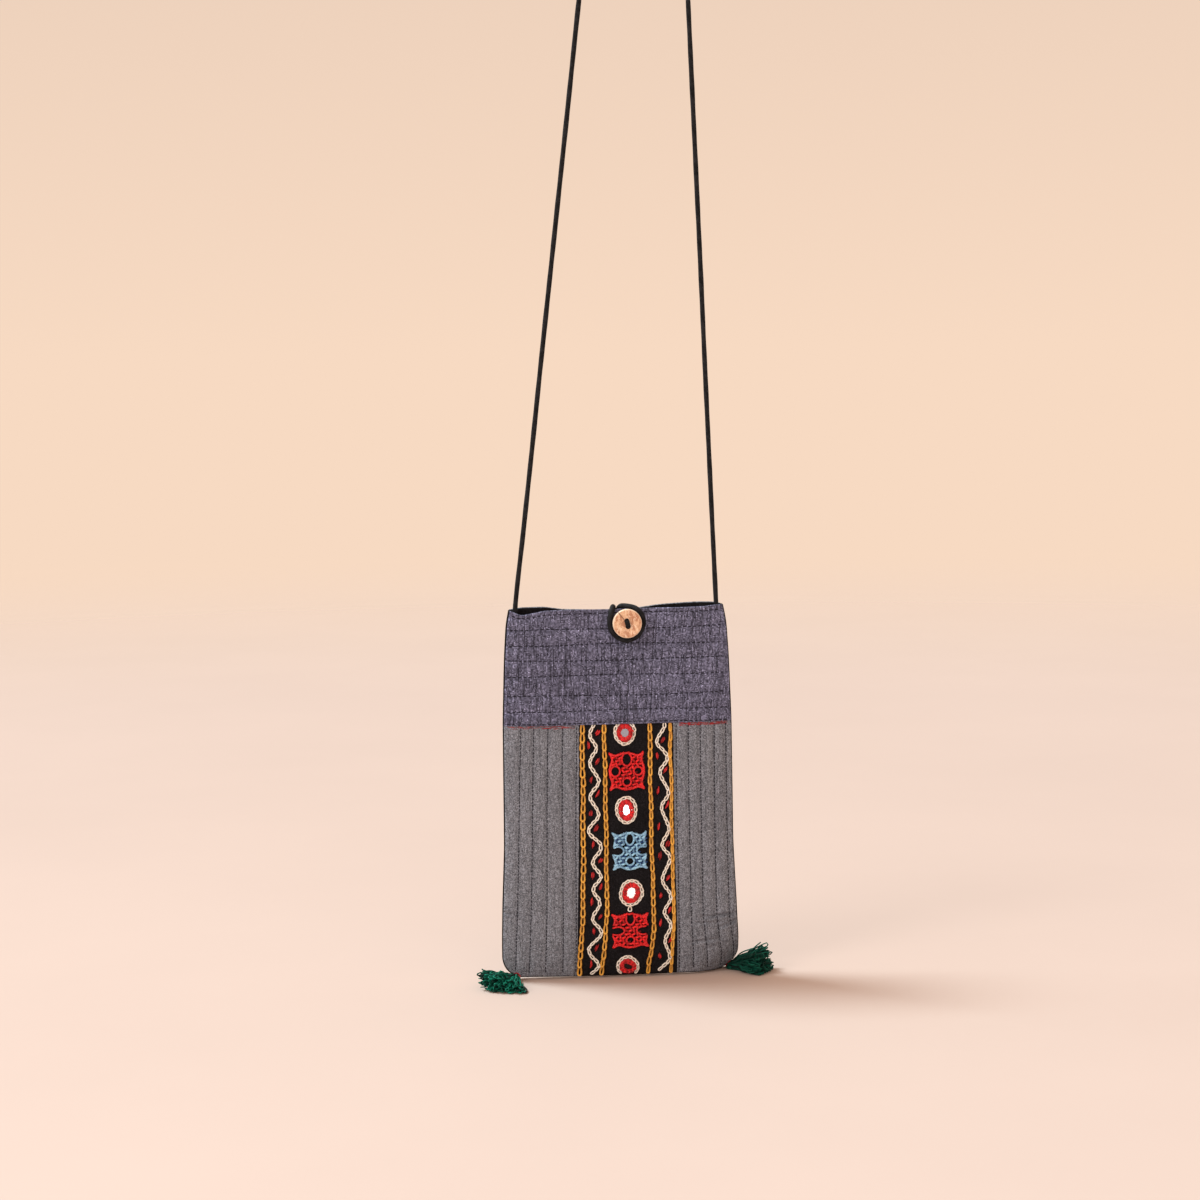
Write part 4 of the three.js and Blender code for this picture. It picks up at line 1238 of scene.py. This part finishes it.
def rope(threads, middle, line, radius, lift, shades, wanted):
    """Stitches that overlap along a closed line, like a rope, where both of their ends are wanted."""
    count = round(length_of(line) / (ROPE_PITCH * radius))
    start = evenly(line, count + 1)[:-1]
    end = np.roll(start, -2, axis=0)
    way = end - start
    cross = np.column_stack([-way[:, 1], way[:, 0]]) * ROPE_SLANT
    seen = wanted(start) & wanted(end)
    start, end = (middle + start - cross)[seen], (middle + end + cross)[seen]
    stitches(threads, start, end, radius, lift, RANDOM.uniform(*shades, seen.sum()))


def interlaced_square(threads, middle, half, gaps, shades):
    """Woven filling of short crossing stitches round four eye-shaped gaps, with roped edges."""
    outline = square_outline(half) * SQUARE_INSET
    steps = np.arange(-SQUARE_COUNT, SQUARE_COUNT + 1)
    column, row = (part.ravel() for part in np.meshgrid(steps, steps))
    places = np.column_stack([column, row]) * SQUARE_PITCH
    keep = inside(places, outline)
    cosine, sine = circle(EYE_STEPS).T
    lens = np.column_stack([cosine, np.sign(sine) * np.abs(sine) ** EYE_POINTED])
    eyes = []
    for way, (distance, long, eye) in zip(EYE_WAYS, gaps):
        ring = lens @ np.array([long * way, eye * np.array([way[1], -way[0]])]) * half
        centre = way * distance * half
        eyes.append(centre + ring)
        keep &= ~inside(places, centre + ring * EYE_MARGIN)

    def unbroken(points):
        return ~np.any([inside(points, ring) for ring in eyes], axis=0)

    def within(points):
        return inside(points, outline)

    # The stitches underneath take the darkest shade: painted shade in the gaps between the stitches on top.
    under = middle + places[keep] + SQUARE_PITCH / 2
    stitches(threads, under - UNDER_REACH, under + UNDER_REACH, SQUARE_THREAD, 0.15, np.zeros(len(under)))
    level = (column + row) % 2 == 0
    swing = RANDOM.uniform(-SQUARE_SWING, SQUARE_SWING, len(level))
    angle = np.radians(np.where(level, *SQUARE_ANGLES) + swing)
    reach = np.column_stack([np.cos(angle), np.sin(angle)]) * SQUARE_REACH
    # Painted light and shade: the same thread lighter along one way of stitches and darker along the other.
    shade = np.clip(np.where(level, *shades) + RANDOM.uniform(-0.35, 0.35, len(level)), 0, 1)
    centre = middle + places + RANDOM.normal(0, 0.12, places.shape)
    lift = 0.95 + RANDOM.uniform(-0.1, 0.1, len(level))
    start, end = (centre - reach)[keep], (centre + reach)[keep]
    stitches(threads, start, end, SQUARE_THREAD, lift[keep], shade[keep], 0.1)
    edge_shades = (shades[1], min(shades[0] + 0.25, 1))
    rope(threads, middle, outline, SQUARE_THREAD * 0.95, 0.75, edge_shades, unbroken)
    for ring in eyes:
        closed = np.concatenate([ring, ring[:1]])
        rope(threads, middle, closed, SQUARE_THREAD * 0.8, 0.7, edge_shades, within)


def embroider_squares():
    threads = {"red": Threads(), "blue": Threads()}
    for (x, drop, wide, tall, colour), gaps in zip(SQUARES, EYES):
        middle, half = np.array([x, -drop]), np.array([wide, tall])
        interlaced_square(threads[colour], middle, half, gaps, SQUARE_SHADES[colour])
    threads["red"].piece("red_squares", THREAD_LOOKS["red"], "red_thread")
    threads["blue"].piece("blue_square", THREAD_LOOKS["blue"], "blue_thread")


def oval(wide, tall, turn, count):
    """A closed oval line round the origin."""
    angle = np.linspace(0, TURN, count)
    points = np.column_stack([wide * np.sin(angle), tall * np.cos(angle)])
    cosine, sine = math.cos(math.radians(turn)), math.sin(math.radians(turn))
    return points @ np.array([[cosine, sine], [-sine, cosine]])


def red_ring(threads, middle, wide, tall, window_wide, window_tall, turn):
    """Spokes from the mirror's window out to the ring, under two rounds of overlapping stitches."""
    seat = MIRROR_GAP + MIRROR_THICK
    inner = oval(window_wide + 0.35, window_tall + 0.35, turn, RING_SPOKES)[:-1]
    outer = oval(wide - 1.1, tall - 1.1, turn + 8, RING_SPOKES)[:-1]
    inner = inner + RANDOM.normal(0, 0.16, inner.shape)
    share = np.linspace(0, 1, 8)
    flat = middle + lerp(inner[:, None], outer[:, None], share[:, None])
    rise = np.interp(share, [0, 0.12, 0.5, 0.85, 1], [seat, seat + 0.3, seat + 0.45, 0.6, 0.0])
    seen = in_view(flat[..., 1]).all(1)
    paths = on_band(flat[..., 0], flat[..., 1], np.broadcast_to(rise, flat.shape[:2]))
    threads.add(paths[seen], RING_THREAD, RANDOM.uniform(0.2, 1, (seen.sum(), 1)))
    for reach, height in ((0.5, seat + 0.4), (1.6, seat + 0.6)):
        line = middle + oval(window_wide + reach, window_tall + reach, turn, 90)
        count = round(length_of(line) / RING_LAP)
        places = evenly(line, count + 1)[:-1] + RANDOM.normal(0, 0.15, (count, 2))
        ends = np.roll(places, -1, axis=0) + RANDOM.uniform(0, 0.25, (count, 1)) * (places - middle)
        clear = in_view(places[:, 1]) & in_view(ends[:, 1])
        shade = RANDOM.uniform(0.2, 1, clear.sum())
        stitches(threads, places[clear], ends[clear], RING_THREAD * 0.9, height, shade)


def embroider_rings():
    """Round each mirror, a raised ring of close red stitches and a chain of cream links."""
    cream, red = Threads(), Threads()
    for (x, drop, *_), (wide, tall, *window, turn) in zip(MIRRORS, RINGS):
        middle = np.array([x, -drop])
        wobble = 1 + RING_WOBBLE * np.sin(np.linspace(0, 3 * TURN, RING_STEPS) + drop)
        chain(cream, middle + oval(wide, tall, turn, RING_STEPS) * wobble[:, None], *RING_CHAIN)
        red_ring(red, middle, wide, tall, *window, turn)
    tail = np.array([MIRRORS[2][0] - 0.6, -MIRRORS[2][1] - RINGS[2][1] - 0.6])
    chain(cream, np.array([tail, tail - [0.2, 2.3]]), *RING_TAIL)
    cream.piece("cream_rings", THREAD_LOOKS["cream"], "cream_thread")
    red.piece("red_rings", THREAD_LOOKS["red"], "red_thread")


def make_mirrors():
    """Thin discs with a ground edge on the band, two of them leaned back a little."""
    profile = [(MIRROR_RADIUS * r, -MIRROR_THICK * up) for r, up in MIRROR_EDGE]
    disc, faces = lathe(profile, MIRROR_SIDES, capped=True)
    for k, (x, drop, back, silver_and_painted_reflection) in enumerate(MIRRORS, 1):
        low, top = (on_band(x, -drop + up, 0.0) for up in (-MIRROR_RADIUS, MIRROR_RADIUS))
        along = unit(unit(top - low) + [0, math.tan(math.radians(back)), 0])
        out = np.cross([1.0, 0, 0], along)
        points = disc @ np.array([[1.0, 0, 0], -out, along]) + (top + low) / 2 + out * MIRROR_GAP
        # The first and last mirror's colours are painted dark reflections.
        look = mirror_look(f"mirror_glass_{k}", silver_and_painted_reflection)
        mirror = new_piece(f"mirror_glass_{k}", points, faces, look, [f"mirror_{k}"])
        mirror.data.set_sharp_from_angle(angle=math.radians(20))


def make_seam_edge():
    """Red cloth that peeks out under the yoke's fold, as short fibres along the seam, thin on the left."""
    threads = Threads(QUILT_SIDES)
    for first, last, count, radius, rows in SEAM_FIBRES:
        middle = RANDOM.uniform(first, last, count)
        x = middle[:, None] + RANDOM.uniform(0.5, 1.6, (count, 1)) * np.linspace(-1, 1, 5)
        z = -YOKE_DROP - (RANDOM.uniform(-0.1, 1.3, (count, 1)) + RANDOM.normal(0, 0.15, (count, 5)))
        paths = front_point(x, z, panel_outer(x, z, rows) + FIBRE_LIFT)
        threads.add(paths, radius, RANDOM.uniform(0.1, 0.8, (count, 1)))
    threads.piece("seam_edge", THREAD_LOOKS["red"], "red_thread")


# Button, thread and loop

YOKE_FACE = -(float(cloth_depth(BUTTON_ACROSS / TOP_HALF, -BUTTON_DROP)) + CLOTH)
BUTTON_BACK = YOKE_FACE - BUTTON_STAND


def button_point(points):
    """From the button's own frame to the pouch's, with its slight turn."""
    cosine, sine = math.cos(BUTTON_TURN), math.sin(BUTTON_TURN)
    turn = np.array([[cosine, 0, sine], [0, 1, 0], [-sine, 0, cosine]])
    return points @ turn + np.array([BUTTON_ACROSS, BUTTON_BACK, -BUTTON_DROP])


def drill(piece, points, faces):
    """Cuts a closed body out of a piece."""
    mesh = bpy.data.meshes.new("hole")
    mesh.from_pydata(((points + POUCH_PLACE) * MM).tolist(), [], faces)
    cutter = bpy.data.objects.new("hole", mesh)
    bpy.context.scene.collection.objects.link(cutter)
    cut = piece.modifiers.new("hole", "BOOLEAN")
    cut.operation, cut.solver, cut.object = "DIFFERENCE", "EXACT", cutter
    bpy.context.view_layer.update()
    drilled = piece.evaluated_get(bpy.context.evaluated_depsgraph_get())
    drilled = bpy.data.meshes.new_from_object(drilled)
    piece.modifiers.clear()
    piece.data = drilled
    bpy.data.objects.remove(cutter)


def make_button():
    """A disc with soft edges and a slightly hollow front, cut through by two holes."""
    corner = np.linspace(0, np.pi / 2, 7)
    flat = BUTTON_RADIUS - BUTTON_EDGE
    profile = [(r * flat, BUTTON_HOLLOW * (1 - r**2) - BUTTON_THICK) for r in (0.001, 0.25, 0.5, 0.75, 0.95)]
    profile += [
        (flat + BUTTON_EDGE * math.sin(a), BUTTON_EDGE * (1 - math.cos(a)) - BUTTON_THICK) for a in corner
    ]
    profile += [(flat + BUTTON_EDGE * math.cos(a), -BUTTON_EDGE * (1 - math.sin(a))) for a in corner]
    profile += [(flat * 0.5, 0.0), (0.001, 0.0)]
    points, faces = lathe(profile, BUTTON_SIDES, capped=True)
    look = shell_look("coconut_shell")
    button = new_piece("shell_button", button_point(points), faces, look, ["button"])
    hole, faces = lathe([(BUTTON_HOLE_RADIUS, -6.0), (BUTTON_HOLE_RADIUS, 3.0)], HOLE_SIDES, capped=True)
    for up in (-BUTTON_HOLE_PITCH / 2, BUTTON_HOLE_PITCH / 2):
        drill(button, button_point(hole + [0, 0, up]), faces)
    button.data.polygons.foreach_set("use_smooth", np.ones(len(button.data.polygons), bool))
    button.data.set_sharp_from_angle(angle=math.radians(35))


def make_button_thread():
    """Strands side by side: up through one hole, over the bridge and down through the other."""
    threads = Threads(sides=8)
    half = BUTTON_HOLE_PITCH / 2
    over = -BUTTON_THICK - 0.55
    foot = BUTTON_STAND - STRAND_RADIUS
    for k in range(BUTTON_STRANDS):
        side = (k - (BUTTON_STRANDS - 1) / 2) * STRAND_PITCH
        lift = 0.35 * (1 - abs(side))
        rising = [
            (side * 0.8, foot, half * 0.6), (side, 0.4, half), (side, -BUTTON_THICK * 0.6, half * 1.05),
            (side, over - lift * 0.5, half * 0.8),
        ]
        route = [(x, y, -z) for x, y, z in rising] + [(side, over - lift, 0)] + rising[::-1]
        threads.add([button_point(smooth_curve(route, 44))], STRAND_RADIUS, 0.2 + 0.15 * k)
    threads.piece("button_strands", THREAD_LOOKS["black"], "black_cord", ["button_thread"])


def make_button_loop():
    """Cord from inside the mouth, over the lip, round under the button's edge and back over the lip."""
    front = YOKE_FACE - LOOP_CLEAR - LOOP_CORD_RADIUS
    route = [
        (-6.0, 0.9, 1.7), (-6.0, 0.8, 5.4), (-6.1, -1.7, 7.4), (-6.7, -5.0, 7.0), (-7.6, front, 4.6),
        (-8.2, front, 1.2),
    ]
    for turn in range(195, 345, 25):
        angle = math.radians(turn)
        route.append((LOOP_RADIUS * math.cos(angle), front, LOOP_RADIUS * 1.04 * math.sin(angle)))
    route += [
        (8.1, front, 0.6), (7.2, front + 0.3, 4.0), (4.7, front + 1.4, 6.7), (1.2, -3.8, 7.7),
        (-2.2, -1.6, 7.6), (-3.3, 0.6, 5.6), (-3.3, 0.9, 1.7),
    ]
    path = smooth_curve(route, 150) + np.array([BUTTON_ACROSS, 0, -BUTTON_DROP])
    cord_piece("loop_cord", path, LOOP_CORD_RADIUS, LOOP_LUMPS, "button_loop")


# Beads and tassels


def aimed(points, way):
    """Turns points so that their Y axis lies along a way."""
    turn = Vector((0, 1, 0)).rotation_difference(Vector(way)).to_matrix()
    return points @ np.array(turn).T


def make_bead(side, start, way, look):
    """A ball with a bore, on the string that starts at a place."""
    lip = math.asin(BEAD_BORE / BEAD_RADIUS)
    steps = np.linspace(lip, math.pi - lip, BEAD_STEPS)
    profile = [(BEAD_RADIUS * math.sin(a), -BEAD_RADIUS * math.cos(a)) for a in steps]
    profile += [(BEAD_BORE * 0.9, profile[-1][1] * 0.9), (BEAD_BORE * 0.9, profile[0][1] * 0.9), profile[0]]
    points, faces = lathe(profile, BEAD_SIDES)
    bead = aimed(points, way) + start + way * (BEAD_RADIUS + BEAD_GAP)
    new_piece(f"bead_{side}", bead, faces, look, [f"corner_bead_{side}"])


def tassel_strands(head, middle, wide, tall):
    """Paths of a tassel's strands: ones that bend round at the tip and run back, and ones that end there."""
    fan = unit(middle)
    count = LOOPS + ENDS
    angle = RANDOM.uniform(0, TURN, count)
    reach = np.sqrt(RANDOM.uniform(0, 1, count))
    reach = reach * np.where(RANDOM.uniform(0, 1, count) < STRAYS, STRAY_REACH, 1)
    way = unit(middle + np.outer(reach * np.cos(angle), wide) + np.outer(reach * np.sin(angle), tall))
    tip = head + way * np.linalg.norm(middle) * RANDOM.uniform(*STRAND_LENGTHS, (count, 1))
    root = head + RANDOM.normal(0, ROOT_SPREAD, (count, 3)) - fan
    arch = lerp(root, tip, 0.45) + RANDOM.normal(0, CURL, (count, 3)) + np.array([0, 0, ARCH_LIFT])
    share = np.linspace(0, 1, STRAND_STEPS)[:, None]
    out = lerp(lerp(root[:, None], arch[:, None], share), lerp(arch[:, None], tip[:, None], share), share)
    waves = RANDOM.uniform(9, 15, (count, 1, 3)) * share + RANDOM.uniform(0, 6.3, (count, 1, 3))
    out = out + CRIMP * np.sqrt(share) * np.sin(waves)
    side = unit(np.cross(fan, RANDOM.normal(0, 1, (LOOPS, 3)))) * RANDOM.uniform(0.6, 1.1, (LOOPS, 1))
    bend = tip[:LOOPS] + side + (tip - root)[:LOOPS] * 0.05
    home = out[:LOOPS, ::-1][:, :HOME_STEPS] + 2 * side[:, None] * np.linspace(1, 0.6, HOME_STEPS)[:, None]
    return np.concatenate([out[:LOOPS], bend[:, None], home], axis=1), out[LOOPS:]


def make_tassel(side, look):
    """A string from the lower seam through a bead, and the tassel that it holds, lying on the floor."""
    across, way, middle, wide, tall, light = TASSELS[side]
    way, middle, wide, tall = (np.array(part, float) for part in (way, middle, wide, tall))
    way = unit(way)
    start = placed(across, 0.0, bottom_at(across / LOW_HALF) + STRING_LIFT)
    head = start + way * (2 * BEAD_RADIUS + 2 * BEAD_GAP + HEAD_GAP)
    make_bead(side, start, way, look)

    threads = Threads()
    threads.add([evenly(np.array([start, head]), 8)], STRING_RADIUS, 0.3)
    looped, ended = tassel_strands(head, middle, wide, tall)
    thin = np.interp(np.linspace(0, 1, STRAND_STEPS), [0, 0.1, 0.93, 1], [0.8, 1, 1, 0.8])
    for paths, radius in ((looped, TASSEL_THREAD), (ended, TASSEL_THREAD * thin)):
        paths[..., 2] = np.maximum(paths[..., 2], -FLOOR_DROP + TASSEL_THREAD)
        # The right tassel's lower cap on its shades is painted shadow.
        threads.add(paths, radius, RANDOM.uniform(0, light, (len(paths), 1)))
    coils = np.linspace(0, NECK_COILS * TURN, NECK_STEPS)
    rise = np.linspace(-NECK_HALF, NECK_HALF, NECK_STEPS)
    wound = np.column_stack([NECK_RADIUS * np.cos(coils), rise, NECK_RADIUS * np.sin(coils)])
    threads.add([aimed(wound, unit(middle)) + head], NECK_THREAD, 0.35)
    threads.piece(f"tassel_threads_{side}", THREAD_LOOKS["green"], "green_thread", [f"tassel_{side}"])


# Floor and light


def make_floor():
    """A plain pale floor that fades into the background."""
    look = Look("floor", roughness=0.85)
    place = look.add("TexCoord").outputs["Object"]
    mottle = look.noise(place, 3.0, 4.0, 0.6)
    fine = look.noise(place, 90.0, 3.0, 0.6)
    distance = look.vector("LENGTH", place, output="Value")
    fade = look.fit(distance, *FLOOR_FADE, 1.0, 0.0, interpolation_type="SMOOTHSTEP")
    look.put(look.shader.inputs["Alpha"], fade)
    look.finish(look.mix(look.fit(mottle, 0.3, 0.7), *FLOOR_COLOURS), fine, 0.15, 0.25)
    mesh = bpy.data.meshes.new("floor")
    ring = np.column_stack([FLOOR_RADIUS * circle(FLOOR_SIDES), np.zeros(FLOOR_SIDES)])
    mesh.from_pydata(ring.tolist(), [], [list(range(FLOOR_SIDES))])
    mesh.materials.append(look.material)
    floor = bpy.data.objects.new("floor", mesh)
    floor.location = (POUCH_PLACE - [0, 0, FLOOR_DROP + FLOOR_GAP]) * MM
    bpy.context.scene.collection.objects.link(floor)


def make_backdrop():
    """A pale backdrop all round, that darkens upwards."""
    world = bpy.data.worlds.new("studio")
    world.use_nodes = True
    tree = world.node_tree
    split = tree.nodes.new("ShaderNodeSeparateXYZ")
    tree.links.new(tree.nodes.new("ShaderNodeTexCoord").outputs["Generated"], split.inputs[0])
    colours = tree.nodes.new("ShaderNodeValToRGB")
    for element, (place, colour) in zip(colours.color_ramp.elements, BACKDROP):
        element.position, element.color = place, colour
    tree.links.new(split.outputs["Z"], colours.inputs[0])
    tree.links.new(colours.outputs[0], tree.nodes["Background"].inputs["Color"])
    bpy.context.scene.world = world
    bpy.context.scene.view_settings.view_transform = "Standard"


def make_lights():
    """A soft main light from the left and behind, and two large soft lights in front."""
    for name, kind, place, power, colour, settings in LIGHTS:
        data = bpy.data.lights.new(name, kind)
        data.energy, data.color = power, colour
        for key, value in settings.items():
            setattr(data, key, value)
        light = bpy.data.objects.new(name, data)
        light.location = place
        light.rotation_euler = (Vector(LIGHT_AIM) - Vector(place)).to_track_quat("-Z", "Y").to_euler()
        light.visible_camera = False
        bpy.context.scene.collection.objects.link(light)


make_camera()
make_sling()

make_yoke()
make_panel("panel_left", (-TOP_HALF, -LOW_HALF), [x - FOLD_CLEAR for x in BAND_LEFT], LEFT_ROWS)
make_panel("panel_right", (TOP_HALF, LOW_HALF), [x + FOLD_CLEAR for x in BAND_RIGHT], RIGHT_ROWS)
make_band()
make_back()
make_lining()

stitch_yoke()
stitch_panel("panel_left", LEFT_ROWS)
stitch_panel("panel_right", RIGHT_ROWS)
stitch_back()

embroider_lines()
embroider_zigzags()
embroider_squares()
embroider_rings()
make_mirrors()
make_seam_edge()

make_button()
make_button_thread()
make_button_loop()
BEAD_LOOK = bead_look("red_bead")
make_tassel("left", BEAD_LOOK)
make_tassel("right", BEAD_LOOK)

make_floor()
make_backdrop()
make_lights()
